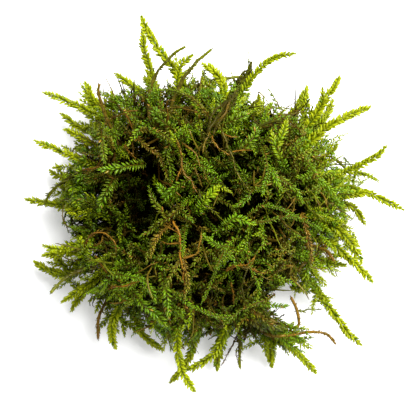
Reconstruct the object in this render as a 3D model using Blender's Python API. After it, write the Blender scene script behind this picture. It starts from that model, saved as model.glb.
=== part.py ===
"""A loose clump of feather moss, lying on a surface.

The clump is a low, springy dome: one matted tangle of crowded shoots, pressed flat underneath,
with single leafy shoots, bare old stems and dry twigs standing out of it all round. Each of those
is a piece of its own, rooted in a narrow socket of the tangle. +Z is up, and the origin is under
the middle of the clump, on the surface it rests on.
"""

import math
from dataclasses import dataclass

import bmesh
import bpy
from mathutils import Vector, noise

MM = 0.001

# The matted tangle: its outline seen from above, every 30 degrees from +X, and its profile.
OUTLINE_RADII = (31.0, 29.0, 27.0, 27.5, 30.5, 33.5, 34.5, 34.5, 33.5, 31.5, 32.5, 27.5)
BELLY_HEIGHT = 10.0
DOME_HEIGHT = 24.5
UNDERSIDE_SHARE = 0.78
ROUNDNESS = 2.3
LUMP_SIZE = 9.0
LUMP_DEPTH = 1.1
TANGLE_SUBDIVISIONS = 4

# Sunken places in its top: x, y, radius along x, radius along y, depth.
HOLLOWS = (
    (-15.0, 2.0, 7.0, 12.0, 9.0),
    (3.0, -19.5, 6.5, 6.0, 7.0),
    (-26.0, 0.5, 5.0, 7.0, 3.0),
    (-1.5, -3.5, 4.0, 3.0, 4.0),
)

# A shoot's socket is this much wider than the shoot, on every side.
SOCKET_GAP = 0.35
TIP_SHARE = 0.12
ROOT_SHARE = 0.75


@dataclass(frozen=True)
class Kind:
    """What a standing piece is: its section in millimetres, its mesh and its finish."""

    half_width: float
    half_thickness: float
    sides: int
    rings: int
    colour: tuple
    roughness: float


LEAFY = Kind(0.95, 0.6, 6, 8, (0.22, 0.30, 0.03), 0.5)
STEM = Kind(0.38, 0.38, 5, 8, (0.10, 0.09, 0.02), 0.6)
TWIG = Kind(0.36, 0.36, 5, 8, (0.20, 0.09, 0.03), 0.6)
BUNDLE = Kind(1.25, 1.0, 8, 8, (0.06, 0.05, 0.02), 0.7)


@dataclass(frozen=True)
class Shoot:
    """One standing piece: where it is rooted, where it ends and how it bends, in millimetres.

    bow is how far the shoot swings to its left at one third and two thirds of its length, and
    arch is how far its middle rises above the straight line from root to tip.
    """

    name: str
    kind: Kind
    root: tuple
    tip: tuple
    bow: tuple
    arch: float = 0.0


SHOOTS = (
    # North side
    Shoot("shoot_north_spire", LEAFY, (-4.5, 22.5, 12.0), (-17.0, 44.0, 15.0), (-0.5, 0.5), 1.0),
    Shoot("shoot_north_pale_spire", LEAFY, (-12.0, 21.5, 6.5), (-17.5, 42.0, 5.5), (0.5, 0.5), 0.5),
    Shoot("stem_north_hooked", STEM, (-15.0, 19.5, 19.0), (-6.5, 36.0, 23.0), (3.0, 3.0), -1.0),
    Shoot("shoot_north_short", LEAFY, (-9.0, 22.0, 17.0), (-5.0, 34.5, 19.5), (1.0, 2.0), 0.5),
    Shoot("stem_north_high", STEM, (-10.5, 20.0, 22.0), (-0.5, 35.0, 26.0), (1.5, 1.5), 0.5),
    Shoot("shoot_north_bud", LEAFY, (4.0, 19.5, 20.0), (-2.5, 32.5, 18.5), (-1.0, -2.0), 0.5),
    Shoot("stem_north_arched", STEM, (-8.5, 22.5, 14.0), (6.0, 30.0, 15.0), (2.5, 2.0), 1.0),
    Shoot("stem_bundle_north", BUNDLE, (0.5, 19.5, 11.0), (9.0, 33.5, 12.0), (0.0, -0.5), 0.5),
    Shoot("shoot_north_east_arm", LEAFY, (3.5, 19.0, 16.0), (19.0, 35.0, 18.0), (2.5, 3.5), 1.0),
    Shoot("shoot_north_inner", LEAFY, (7.5, 17.0, 18.5), (10.5, 24.5, 22.5), (0.5, 0.5)),
    # North-east side
    Shoot("shoot_north_east_low", LEAFY, (14.0, 16.0, 9.0), (23.0, 28.5, 5.0), (-0.5, -1.0), 1.0),
    Shoot("shoot_north_east_high", LEAFY, (18.0, 13.0, 15.5), (25.5, 26.5, 19.5), (-1.0, -1.5)),
    Shoot("shoot_north_east_spire", LEAFY, (18.0, 13.0, 11.5), (30.0, 30.0, 13.0), (-0.5, -0.5), 0.5),
    Shoot("shoot_north_east_under", LEAFY, (20.0, 12.0, 7.0), (29.5, 25.5, 3.0), (-0.5, -1.0), 1.0),
    Shoot("shoot_north_east_spray", LEAFY, (17.0, 10.5, 18.5), (36.5, 22.5, 18.0), (0.5, 1.0), 1.5),
    # East side
    Shoot("shoot_east_upper", LEAFY, (20.5, 6.5, 13.0), (29.0, 13.5, 17.0), (-0.5, -0.5), 0.5),
    Shoot("stem_east_arc", STEM, (22.0, 8.5, 9.5), (32.0, 8.5, 8.0), (1.5, 2.0), 1.0),
    Shoot("shoot_east_slender", LEAFY, (22.0, 3.5, 16.0), (40.0, 13.0, 20.5), (-0.5, -1.0), 0.5),
    Shoot("shoot_east_arm", LEAFY, (22.5, 4.5, 9.5), (45.5, -1.5, 11.5), (1.5, 1.5), 0.5),
    Shoot("shoot_east_drooping", LEAFY, (22.5, -0.5, 7.0), (37.5, -5.0, 3.5), (2.5, 3.0), 1.0),
    Shoot("shoot_east_straight", LEAFY, (22.5, 0.5, 13.0), (36.5, 2.5, 15.0), (0.0, 0.0)),
    Shoot("shoot_east_lower", LEAFY, (21.5, -4.5, 8.5), (36.0, -10.5, 3.0), (0.5, 1.0), 1.0),
    # South-east side
    Shoot("shoot_south_east_arm", LEAFY, (19.0, -7.5, 12.5), (38.5, -19.0, 8.0), (2.5, 2.0), 1.0),
    Shoot("shoot_south_east_upper", LEAFY, (20.0, -4.0, 16.5), (34.5, -14.0, 19.5), (3.0, 3.0)),
    Shoot("shoot_south_east_inner", LEAFY, (18.0, -11.5, 9.5), (32.5, -15.5, 4.5), (0.0, 0.0), 0.5),
    Shoot("twig_south_east_short", TWIG, (18.5, -9.5, 16.0), (28.0, -13.5, 20.0), (1.0, 1.5)),
    Shoot("shoot_south_east_long_arm", LEAFY, (17.0, -13.0, 4.5), (36.5, -35.0, 3.0), (1.0, 0.0), 1.5),
    Shoot("twig_south_east_upright", TWIG, (13.5, -28.0, 11.5), (18.5, -22.5, 13.5), (-5.5, -5.0)),
    Shoot("twig_south_east_arc", TWIG, (9.5, -26.5, 14.0), (29.0, -33.5, 15.0), (-3.0, 0.5), 1.0),
    Shoot("shoot_south_east_spray", LEAFY, (9.5, -25.0, 10.5), (25.0, -41.5, 6.0), (-0.5, 0.0), 1.0),
    # South side
    Shoot("shoot_south_low", LEAFY, (10.5, -24.0, 5.0), (14.5, -40.5, 2.5), (0.5, 0.5), 1.0),
    Shoot("stem_south_straight", STEM, (6.5, -25.5, 9.5), (6.5, -40.0, 8.5), (0.0, 0.0), 0.5),
    Shoot("shoot_south_bud", LEAFY, (2.5, -25.5, 5.5), (1.0, -41.0, 4.5), (0.0, 0.0), 0.5),
    Shoot("shoot_south_arched", LEAFY, (4.0, -25.0, 14.0), (-6.5, -39.5, 16.0), (2.5, 3.0), 1.0),
    Shoot("shoot_south_spire", LEAFY, (-2.0, -26.0, 7.5), (-10.5, -44.0, 5.5), (1.0, 1.5), 1.0),
    Shoot("shoot_south_west_bud", LEAFY, (-8.5, -25.5, 14.5), (-4.5, -44.0, 18.5), (-1.5, -2.0), 0.5),
    # South-west side
    Shoot("shoot_south_west_low", LEAFY, (-19.0, -21.5, 9.0), (-12.5, -36.0, 5.5), (-2.0, -2.5), 0.5),
    Shoot("shoot_south_west_upper", LEAFY, (-20.5, -20.0, 14.0), (-23.5, -34.5, 13.5), (-1.0, -1.5), 1.0),
    Shoot("twig_south_west", TWIG, (-22.5, -17.5, 6.5), (-28.0, -33.0, 8.5), (-1.0, -1.5)),
    Shoot("shoot_south_west_outer", LEAFY, (-24.0, -15.5, 6.5), (-35.0, -26.5, 3.0), (-0.5, -1.0), 0.5),
    Shoot("shoot_south_west_ridge", LEAFY, (-24.0, -15.5, 12.0), (-36.0, -23.5, 14.0), (0.0, 0.0), 0.5),
    Shoot("stem_west_crossing", STEM, (-24.5, -12.5, 15.5), (-38.0, -21.0, 19.5), (-0.5, -1.0)),
    # West side
    Shoot("shoot_west_spray", LEAFY, (-25.5, -13.5, 8.0), (-44.0, -14.5, 4.5), (2.0, 3.0), 1.0),
    Shoot("shoot_west_inner", LEAFY, (-27.0, -9.5, 12.0), (-40.5, -12.5, 12.5), (0.5, 0.5), 0.5),
    Shoot("shoot_west_ridge", LEAFY, (-26.5, -7.5, 16.0), (-39.5, -10.0, 20.5), (1.0, 1.5)),
    Shoot("shoot_west_arm", LEAFY, (-28.5, -2.5, 9.0), (-45.5, 1.0, 8.5), (0.0, 0.0), 0.5),
    Shoot("stem_west_dark", STEM, (-25.5, 8.5, 15.0), (-40.0, 0.0, 16.0), (-1.5, -2.0), 0.5),
    Shoot("shoot_west_low", LEAFY, (-28.0, 3.5, 6.5), (-40.5, 8.0, 2.5), (0.5, 0.5), 1.0),
    # North-west side
    Shoot("shoot_north_west_spray", LEAFY, (-26.0, 8.0, 17.5), (-41.5, 14.5, 20.0), (0.0, 0.0), 0.5),
    Shoot("shoot_north_west_short", LEAFY, (-25.0, 11.5, 12.0), (-35.5, 17.5, 13.0), (0.0, -0.5)),
    Shoot("shoot_north_west_low", LEAFY, (-24.0, 14.0, 7.5), (-37.5, 22.0, 4.0), (0.0, 0.5), 0.5),
    Shoot("shoot_north_west_arm", LEAFY, (-21.0, 17.0, 13.0), (-40.0, 26.0, 16.5), (-0.5, -0.5)),
    Shoot("shoot_north_west_upright", LEAFY, (-21.5, 17.0, 8.0), (-31.0, 29.0, 9.5), (0.5, 1.0), 0.5),
    Shoot("twig_north_west", TWIG, (-22.5, 14.0, 18.5), (-26.5, 27.5, 22.0), (0.5, 1.0)),
    Shoot("shoot_north_west_inner", LEAFY, (-12.5, 21.0, 11.0), (-23.5, 31.0, 12.5), (-0.5, -0.5), 0.5),
)


def clear_scene():
    """Remove everything from the scene."""
    for existing in list(bpy.data.objects):
        bpy.data.objects.remove(existing, do_unlink=True)


def make_material(name, colour, roughness):
    """Return a plain Principled material."""
    material = bpy.data.materials.new(name)
    material.use_nodes = True
    shader = material.node_tree.nodes["Principled BSDF"]
    shader.inputs["Base Color"].default_value = (*colour, 1.0)
    shader.inputs["Roughness"].default_value = roughness
    shader.inputs["Metallic"].default_value = 0.0
    return material


def add_object(name, mesh, material=None):
    """Put a mesh into the scene as a named, smooth-shaded object."""
    piece = bpy.data.objects.new(name, mesh)
    bpy.context.scene.collection.objects.link(piece)
    mesh.shade_smooth()
    if material is not None:
        mesh.materials.append(material)
    return piece


def outline_radius(azimuth):
    """Return the tangle's radius at an azimuth: a smooth closed curve through OUTLINE_RADII."""
    count = len(OUTLINE_RADII)
    place = (azimuth / math.tau * count) % count
    index = int(place)
    step = place - index
    nearby = [OUTLINE_RADII[(index + shift) % count] for shift in (-1, 0, 1, 2)]
    before, here, after, beyond = nearby
    slope_here = (after - before) / 2
    slope_after = (beyond - here) / 2
    bend = 3 * (after - here) - 2 * slope_here - slope_after
    twist = 2 * (here - after) + slope_here + slope_after
    return here + slope_here * step + bend * step**2 + twist * step**3


def belly_depth():
    """Return how far the tangle's round underside would reach below its belly, if it were whole."""
    return BELLY_HEIGHT / (1 - UNDERSIDE_SHARE**ROUNDNESS) ** (1 / ROUNDNESS)


def tangle_point(direction):
    """Return the point of the tangle's surface that lies in a direction from its belly's middle."""
    rise = abs(direction.z)
    share = max(1 - rise**ROUNDNESS, 0.0) ** (1 / ROUNDNESS)
    azimuth = math.atan2(direction.y, direction.x)
    radius = outline_radius(azimuth) * share
    reach = DOME_HEIGHT if direction.z > 0 else belly_depth()
    height = BELLY_HEIGHT + direction.z * reach
    point = Vector((radius * math.cos(azimuth), radius * math.sin(azimuth), height))
    point += direction * LUMP_DEPTH * noise.noise(point / LUMP_SIZE)
    if direction.z > 0:
        for x, y, radius_x, radius_y, depth in HOLLOWS:
            away = ((point.x - x) / radius_x) ** 2 + ((point.y - y) / radius_y) ** 2
            point.z -= depth * math.exp(-away) * direction.z
    return point * MM


def make_tangle(material):
    """Build the matted tangle, cut flat where it rests."""
    shape = bmesh.new()
    bmesh.ops.create_icosphere(shape, subdivisions=TANGLE_SUBDIVISIONS, radius=1.0)
    for vertex in shape.verts:
        vertex.co = tangle_point(vertex.co.normalized())
    everything = shape.verts[:] + shape.edges[:] + shape.faces[:]
    cut = bmesh.ops.bisect_plane(
        shape, geom=everything, dist=0.02 * MM, plane_co=(0, 0, 0), plane_no=(0, 0, -1), clear_outer=True
    )
    rim = [edge for edge in cut["geom_cut"] if isinstance(edge, bmesh.types.BMEdge)]
    bmesh.ops.contextual_create(shape, geom=rim)
    bmesh.ops.recalc_face_normals(shape, faces=shape.faces)
    mesh = bpy.data.meshes.new("moss_tangle")
    shape.to_mesh(mesh)
    shape.free()
    return add_object("moss_tangle", mesh, material)


def shoot_point(shoot, along):
    """Return a point of a shoot's middle line, in metres; along runs from 0 at its root to 1."""
    root = Vector(shoot.root)
    tip = Vector(shoot.tip)
    chord = tip - root
    left = Vector((-chord.y, chord.x, 0)).normalized()
    near = 13.5 * along * (along - 2 / 3) * (along - 1)
    far = -13.5 * along * (along - 1 / 3) * (along - 1)
    rise = 4 * along * (1 - along) * shoot.arch
    sideways = shoot.bow[0] * near + shoot.bow[1] * far
    return (root + chord * along + left * sideways + Vector((0, 0, rise))) * MM


def shoot_fullness(along):
    """Return a shoot's width at a place, as a share of its full width."""
    from_root = ROOT_SHARE + (1 - ROOT_SHARE) * min(along / 0.25, 1.0)
    to_tip = min((1 - along) / 0.3, 1.0)
    return from_root * (TIP_SHARE + (1 - TIP_SHARE) * math.sin(to_tip * math.pi / 2))


def add_shoot(shape, shoot, gap=0.0):
    """Add a shoot's closed, tapering solid to a mesh, gap millimetres fatter all round."""
    kind = shoot.kind
    loops = []
    for ring in range(kind.rings):
        along = ring / kind.rings
        middle = shoot_point(shoot, along)
        heading = (shoot_point(shoot, along + 0.01) - shoot_point(shoot, along - 0.01)).normalized()
        if ring == 0:
            middle -= heading * gap * MM
        left = Vector((0, 0, 1)).cross(heading).normalized()
        upward = heading.cross(left)
        fullness = shoot_fullness(along)
        width = (kind.half_width * fullness + gap) * MM
        thickness = (kind.half_thickness * fullness + gap) * MM
        loop = []
        for side in range(kind.sides):
            turn = math.tau * side / kind.sides
            offset = left * width * math.cos(turn) + upward * thickness * math.sin(turn)
            loop.append(shape.verts.new(middle + offset))
        loops.append(loop)
    for lower, upper in zip(loops, loops[1:]):
        for side in range(kind.sides):
            after = (side + 1) % kind.sides
            shape.faces.new((lower[side], lower[after], upper[after], upper[side]))
    heading = (shoot_point(shoot, 1.0) - shoot_point(shoot, 0.99)).normalized()
    apex = shape.verts.new(shoot_point(shoot, 1.0) + heading * gap * MM)
    for side in range(kind.sides):
        shape.faces.new((loops[-1][side], loops[-1][(side + 1) % kind.sides], apex))
    shape.faces.new(loops[0][::-1])


def make_shoot(shoot, material):
    """Build one shoot as an object of its own, with its origin at its root."""
    shape = bmesh.new()
    add_shoot(shape, shoot)
    bmesh.ops.recalc_face_normals(shape, faces=shape.faces)
    place = Vector(shoot.root) * MM
    bmesh.ops.translate(shape, verts=shape.verts, vec=-place)
    mesh = bpy.data.meshes.new(shoot.name)
    shape.to_mesh(mesh)
    shape.free()
    piece = add_object(shoot.name, mesh, material)
    piece.location = place
    return piece


def cut_sockets(tangle):
    """Cut a socket into the tangle for every shoot, so that each stands clear of it."""
    shape = bmesh.new()
    for shoot in SHOOTS:
        add_shoot(shape, shoot, SOCKET_GAP)
    bmesh.ops.recalc_face_normals(shape, faces=shape.faces)
    mesh = bpy.data.meshes.new("socket_cutter")
    shape.to_mesh(mesh)
    shape.free()
    cutter = add_object("socket_cutter", mesh)
    cutter.hide_render = True
    cutter.display_type = "WIRE"
    sockets = tangle.modifiers.new("sockets", "BOOLEAN")
    sockets.operation = "DIFFERENCE"
    sockets.solver = "EXACT"
    sockets.object = cutter


def main():
    """Build the whole clump."""
    clear_scene()
    clump = bpy.data.objects.new("moss_clump", None)
    bpy.context.scene.collection.objects.link(clump)
    tangle = make_tangle(make_material("matted_moss", (0.06, 0.08, 0.01), 0.8))
    tangle.parent = clump
    names = {LEAFY: "leafy_shoot", STEM: "bare_stem", TWIG: "dry_twig", BUNDLE: "stem_bundle"}
    finishes = {kind: make_material(names[kind], kind.colour, kind.roughness) for kind in names}
    for shoot in SHOOTS:
        piece = make_shoot(shoot, finishes[shoot.kind])
        piece.parent = clump
    cut_sockets(tangle)


main()
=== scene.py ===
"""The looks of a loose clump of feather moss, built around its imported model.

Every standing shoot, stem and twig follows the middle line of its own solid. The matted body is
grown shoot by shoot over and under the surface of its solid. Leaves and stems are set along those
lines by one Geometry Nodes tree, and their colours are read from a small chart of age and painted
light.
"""

import logging
import math
from collections.abc import Iterable, Sequence
from dataclasses import dataclass, field, replace
from enum import Enum
from random import Random

import bmesh
import bpy
import numpy as np
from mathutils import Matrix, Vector, noise
from mathutils.bvhtree import BVHTree


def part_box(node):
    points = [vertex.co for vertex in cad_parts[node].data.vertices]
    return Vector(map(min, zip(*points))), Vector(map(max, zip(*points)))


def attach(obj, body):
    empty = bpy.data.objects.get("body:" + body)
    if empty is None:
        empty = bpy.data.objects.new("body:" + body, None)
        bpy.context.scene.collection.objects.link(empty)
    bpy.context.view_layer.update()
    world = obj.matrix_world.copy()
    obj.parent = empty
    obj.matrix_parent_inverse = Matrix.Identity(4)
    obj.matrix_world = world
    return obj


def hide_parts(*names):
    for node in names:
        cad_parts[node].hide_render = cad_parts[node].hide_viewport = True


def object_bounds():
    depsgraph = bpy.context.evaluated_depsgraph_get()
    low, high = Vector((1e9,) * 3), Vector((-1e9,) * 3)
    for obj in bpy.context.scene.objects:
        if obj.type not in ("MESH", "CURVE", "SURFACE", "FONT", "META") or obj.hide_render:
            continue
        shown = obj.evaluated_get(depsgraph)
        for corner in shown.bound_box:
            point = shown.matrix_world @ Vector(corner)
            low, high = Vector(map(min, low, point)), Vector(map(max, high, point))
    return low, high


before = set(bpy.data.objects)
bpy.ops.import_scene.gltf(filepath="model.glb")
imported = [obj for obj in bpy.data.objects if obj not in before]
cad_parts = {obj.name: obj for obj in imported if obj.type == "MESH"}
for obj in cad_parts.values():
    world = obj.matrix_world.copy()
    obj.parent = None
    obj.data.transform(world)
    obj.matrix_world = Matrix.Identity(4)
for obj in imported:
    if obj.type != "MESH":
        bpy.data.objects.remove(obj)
CAD_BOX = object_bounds()

MM = 0.001
BODY = "root"
CHART = "OFBake"
CHART_EDGE = 0.04
AGE_LIMITS = (0.03, 0.96)
CROWN_DEPTH = 1.5 * MM
SINKING = 2 * MM
LOG = logging.getLogger("moss_clump")

Colour = tuple[float, float, float]


def srgb(red: int, green: int, blue: int) -> Colour:
    """Return a linear colour from red, green and blue between 0 and 255."""
    return tuple(((part / 255 + 0.055) / 1.055) ** 2.4 if part > 10 else part / 255 / 12.92
                 for part in (red, green, blue))


def jitter(random: Random, x: float = 1.0, y: float = 1.0, z: float = 1.0) -> Vector:
    """Return a random vector, each part drawn between minus and plus its own reach."""
    return Vector((random.uniform(-x, x), random.uniform(-y, y), random.uniform(-z, z)))


def placed(name: str, data: bpy.types.ID) -> bpy.types.Object:
    """Return a new object of a mesh, light or camera, put in the scene."""
    thing = bpy.data.objects.new(name, data)
    bpy.context.scene.collection.objects.link(thing)
    return thing


class Habit(Enum):
    """How a piece of the clump grows."""

    LEAFY = "leafy"
    BARE = "bare"
    TWIG = "twig"


# ---------------------------------------- node writing


class Signal:
    """A number that varies over a piece, wrapped so that node maths reads as arithmetic."""

    def __init__(self, writer: "TreeWriter", socket: bpy.types.NodeSocket) -> None:
        """Wrap an output socket of the writer's tree."""
        self.writer = writer
        self.socket = socket

    def _math(self, operation: str, *values: "Signal | float") -> "Signal":
        """Add a Math node and return its result.

        Args:
            operation: The Math node's operation.
            values: Its inputs in order.

        Returns:
            The node's output.
        """
        node = self.writer.node("ShaderNodeMath", {"operation": operation}, dict(enumerate(values)))
        return Signal(self.writer, node.outputs[0])

    def __add__(self, other: "Signal | float") -> "Signal":
        """Return self + other."""
        return self._math("ADD", self, other)

    __radd__ = __add__

    def __sub__(self, other: "Signal | float") -> "Signal":
        """Return self - other."""
        return self._math("SUBTRACT", self, other)

    def __rsub__(self, other: "Signal | float") -> "Signal":
        """Return other - self."""
        return self._math("SUBTRACT", other, self)

    def __mul__(self, other: "Signal | float") -> "Signal":
        """Return self * other."""
        return self._math("MULTIPLY", self, other)

    __rmul__ = __mul__

    def __truediv__(self, other: "Signal | float") -> "Signal":
        """Return self / other."""
        return self._math("DIVIDE", self, other)

    def __gt__(self, other: "Signal | float") -> "Signal":
        """Return 1 where self is greater than other, else 0."""
        return self._math("GREATER_THAN", self, other)

    def sine(self) -> "Signal":
        """Return the sine of self, in radians."""
        return self._math("SINE", self)

    def cosine(self) -> "Signal":
        """Return the cosine of self, in radians."""
        return self._math("COSINE", self)

    def rounded(self) -> "Signal":
        """Return self rounded to a whole number."""
        return self._math("ROUND", self)

    def clamped(self, low: float = 0.0, high: float = 1.0) -> "Signal":
        """Return self held between low and high."""
        return self._math("MINIMUM", self._math("MAXIMUM", self, low), high)


class TreeWriter:
    """Writes the nodes of one shader or geometry tree."""

    def __init__(self, tree: bpy.types.NodeTree) -> None:
        """Start on an empty tree."""
        self.tree = tree
        self.tree.nodes.clear()

    def node(self, kind: str, settings: dict | None = None, inputs: dict | None = None) -> bpy.types.Node:
        """Add a node.

        Args:
            kind: The node's type.
            settings: Its own settings, set first; "stops" are a colour ramp's (place, colour).
            inputs: Values or links by socket identifier, name or index.

        Returns:
            The new node.
        """
        node = self.tree.nodes.new(kind)
        for name, value in (settings or {}).items():
            if name == "stops":
                self._set_stops(node.color_ramp, value)
            else:
                setattr(node, name, value)
        for key, value in (inputs or {}).items():
            self._feed(self._find(node.inputs, key), value)
        return node

    def signal(self, kind: str, output: str | int = 0, settings: dict | None = None,
               inputs: dict | None = None) -> Signal:
        """Add a node and return one of its outputs, wrapped.

        Args:
            kind: The node's type.
            output: The output's name or index.
            settings: The node's own settings.
            inputs: Values or links by socket.

        Returns:
            The wrapped output.
        """
        node = self.node(kind, settings, inputs)
        return Signal(self, self._find(node.outputs, output))

    def output(self, node: bpy.types.Node, key: str | int) -> bpy.types.NodeSocket:
        """Return one of a node's outputs by index, identifier or name."""
        return self._find(node.outputs, key)

    @staticmethod
    def _set_stops(ramp: bpy.types.ColorRamp, stops: Sequence[tuple[float, Colour]]) -> None:
        """Give a colour ramp its stops.

        Args:
            ramp: The ramp.
            stops: Place and colour of each stop, in order.
        """
        while len(ramp.elements) > 1:
            ramp.elements.remove(ramp.elements[-1])
        ramp.elements[0].position = stops[0][0]
        ramp.elements[0].color = (*stops[0][1], 1.0)
        for place, colour in stops[1:]:
            element = ramp.elements.new(place)
            element.color = (*colour, 1.0)

    @staticmethod
    def _find(sockets: Iterable, key: str | int) -> bpy.types.NodeSocket:
        """Find one of a node's sockets.

        Args:
            sockets: The node's inputs or outputs.
            key: The socket's index, identifier or, if it is enabled, name.

        Returns:
            The socket.
        """
        if isinstance(key, int):
            return sockets[key]
        named = [socket for socket in sockets if socket.identifier == key]
        named += [socket for socket in sockets if socket.name == key and socket.enabled]
        return named[0]

    def _feed(self, socket: bpy.types.NodeSocket, value: object) -> None:
        """Link or set one input.

        Args:
            socket: The input.
            value: A Signal, socket, node or plain value.
        """
        if isinstance(value, Signal):
            self.tree.links.new(value.socket, socket)
        elif isinstance(value, bpy.types.NodeSocket):
            self.tree.links.new(value, socket)
        elif isinstance(value, bpy.types.Node):
            self.tree.links.new(value.outputs[0], socket)
        else:
            socket.default_value = value


# ---------------------------------------- finishes


@dataclass(frozen=True)
class ChartFinish:
    """A living finish, read from a chart: age runs along U and painted light and shade along V.

    Attributes:
        name: The material's name.
        shaded: Colours by age where little light falls.
        lit: Colours by age where most light falls.
        roughness: Roughness of the youngest and the oldest growth.
        glow: Share of light that the youngest growth lets through.
        glow_colour: Colour of the light that comes through.
        gloss: Weight of the damp gloss where most light falls.
        streaks: Depth of the streaks that run along an old stem.
    """

    name: str
    shaded: tuple[tuple[float, Colour], ...]
    lit: tuple[tuple[float, Colour], ...]
    roughness: tuple[float, float]
    glow: float = 0.0
    glow_colour: Colour = (0.5, 0.5, 0.1)
    gloss: float = 0.3
    streaks: float = 0.0

    def build(self) -> bpy.types.Material:
        """Build the material.

        Returns:
            The material.
        """
        material = bpy.data.materials.new(self.name)
        material.use_nodes = True
        writer = TreeWriter(material.node_tree)
        chart = writer.node("ShaderNodeUVMap", {"uv_map": CHART})
        axes = writer.node("ShaderNodeSeparateXYZ", None, {0: chart})
        age = Signal(writer, axes.outputs[0])
        light = ((Signal(writer, axes.outputs[1]) - CHART_EDGE) * (1.0 / (1.0 - CHART_EDGE))).clamped()
        if self.streaks:
            spots = writer.node("ShaderNodeMapping", None, {"Vector": chart, "Scale": (90.0, 40.0, 1.0)})
            grain_inputs = {"Vector": spots, "Scale": 1.0, "Detail": 3.0}
            grain = writer.signal("ShaderNodeTexNoise", "Fac", None, grain_inputs)
            light = (light * ((grain - 0.5) * self.streaks + 1.0)).clamped()
        # Painted light and shade: a shaded and a lit copy of each age's colour, mixed by the chart's light.
        dark = writer.node("ShaderNodeValToRGB", {"stops": self.shaded}, {"Fac": age})
        bright = writer.node("ShaderNodeValToRGB", {"stops": self.lit}, {"Fac": age})
        blend = {"Factor_Float": light, "A_Color": dark, "B_Color": bright}
        colour = writer.node("ShaderNodeMix", {"data_type": "RGBA"}, blend)
        young, old = self.roughness
        surface = writer.node(
            "ShaderNodeBsdfPrincipled",
            None,
            {
                "Base Color": writer.output(colour, "Result_Color"),
                "Roughness": age * (old - young) + young,
                "Specular IOR Level": 0.0,
                "Coat Weight": light * self.gloss,
                "Coat Roughness": 0.2,
            },
        )
        result = surface
        if self.glow:
            through = writer.node("ShaderNodeBsdfTranslucent", None, {"Color": (*self.glow_colour, 1.0)})
            share = ((1.0 - age) * light * self.glow).clamped()
            result = writer.node("ShaderNodeMixShader", None, {0: share, 1: surface, 2: through})
        writer.node("ShaderNodeOutputMaterial", None, {"Surface": result})
        return material


LEAF_FINISH = ChartFinish(
    name="moss_leaf",
    shaded=(
        (0.0, srgb(76, 84, 2)),
        (0.16, srgb(44, 54, 1)),
        (0.34, srgb(10, 20, 1)),
        (0.55, srgb(9, 12, 1)),
        (0.7, srgb(10, 8, 1)),
        (0.85, srgb(20, 13, 2)),
        (1.0, srgb(34, 20, 3)),
    ),
    lit=(
        (0.0, srgb(214, 220, 30)),
        (0.16, srgb(194, 208, 24)),
        (0.34, srgb(126, 178, 22)),
        (0.5, srgb(134, 164, 28)),
        (0.66, srgb(152, 152, 36)),
        (0.84, srgb(176, 140, 40)),
        (1.0, srgb(184, 136, 42)),
    ),
    roughness=(0.28, 0.55),
    glow=0.8,
    glow_colour=srgb(226, 234, 30),
    gloss=0.85,
)

STEM_FINISH = ChartFinish(
    name="old_stem",
    shaded=(
        (0.0, srgb(60, 66, 4)),
        (0.3, srgb(12, 11, 3)),
        (0.6, srgb(24, 18, 3)),
        (0.8, srgb(40, 26, 4)),
        (1.0, srgb(70, 44, 6)),
    ),
    lit=(
        (0.0, srgb(150, 158, 22)),
        (0.3, srgb(88, 86, 20)),
        (0.6, srgb(130, 112, 30)),
        (0.8, srgb(146, 106, 32)),
        (1.0, srgb(178, 124, 34)),
    ),
    roughness=(0.4, 0.55),
    gloss=0.4,
    streaks=2.2,
)


@dataclass(frozen=True)
class FloorFinish:
    """The plain pale surface that the clump lies on.

    Attributes:
        name: The material's name.
        colour: Its colour.
        roughness: Its roughness.
        glow: Strength of its own faint light.
    """

    name: str = "pale_floor"
    colour: Colour = (0.82, 0.82, 0.82)
    roughness: float = 0.7
    glow: float = 0.29

    def build(self) -> bpy.types.Material:
        """Build the material.

        Returns:
            The material.
        """
        material = bpy.data.materials.new(self.name)
        material.use_nodes = True
        writer = TreeWriter(material.node_tree)
        inputs = {
            "Base Color": (*self.colour, 1.0),
            "Roughness": self.roughness,
            "Specular IOR Level": 0.2,
            "Emission Color": (1.0, 1.0, 1.0, 1.0),
            "Emission Strength": self.glow,
        }
        surface = writer.node("ShaderNodeBsdfPrincipled", None, inputs)
        writer.node("ShaderNodeOutputMaterial", None, {"Surface": surface})
        return material


# ---------------------------------------- leaves and routes


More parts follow.
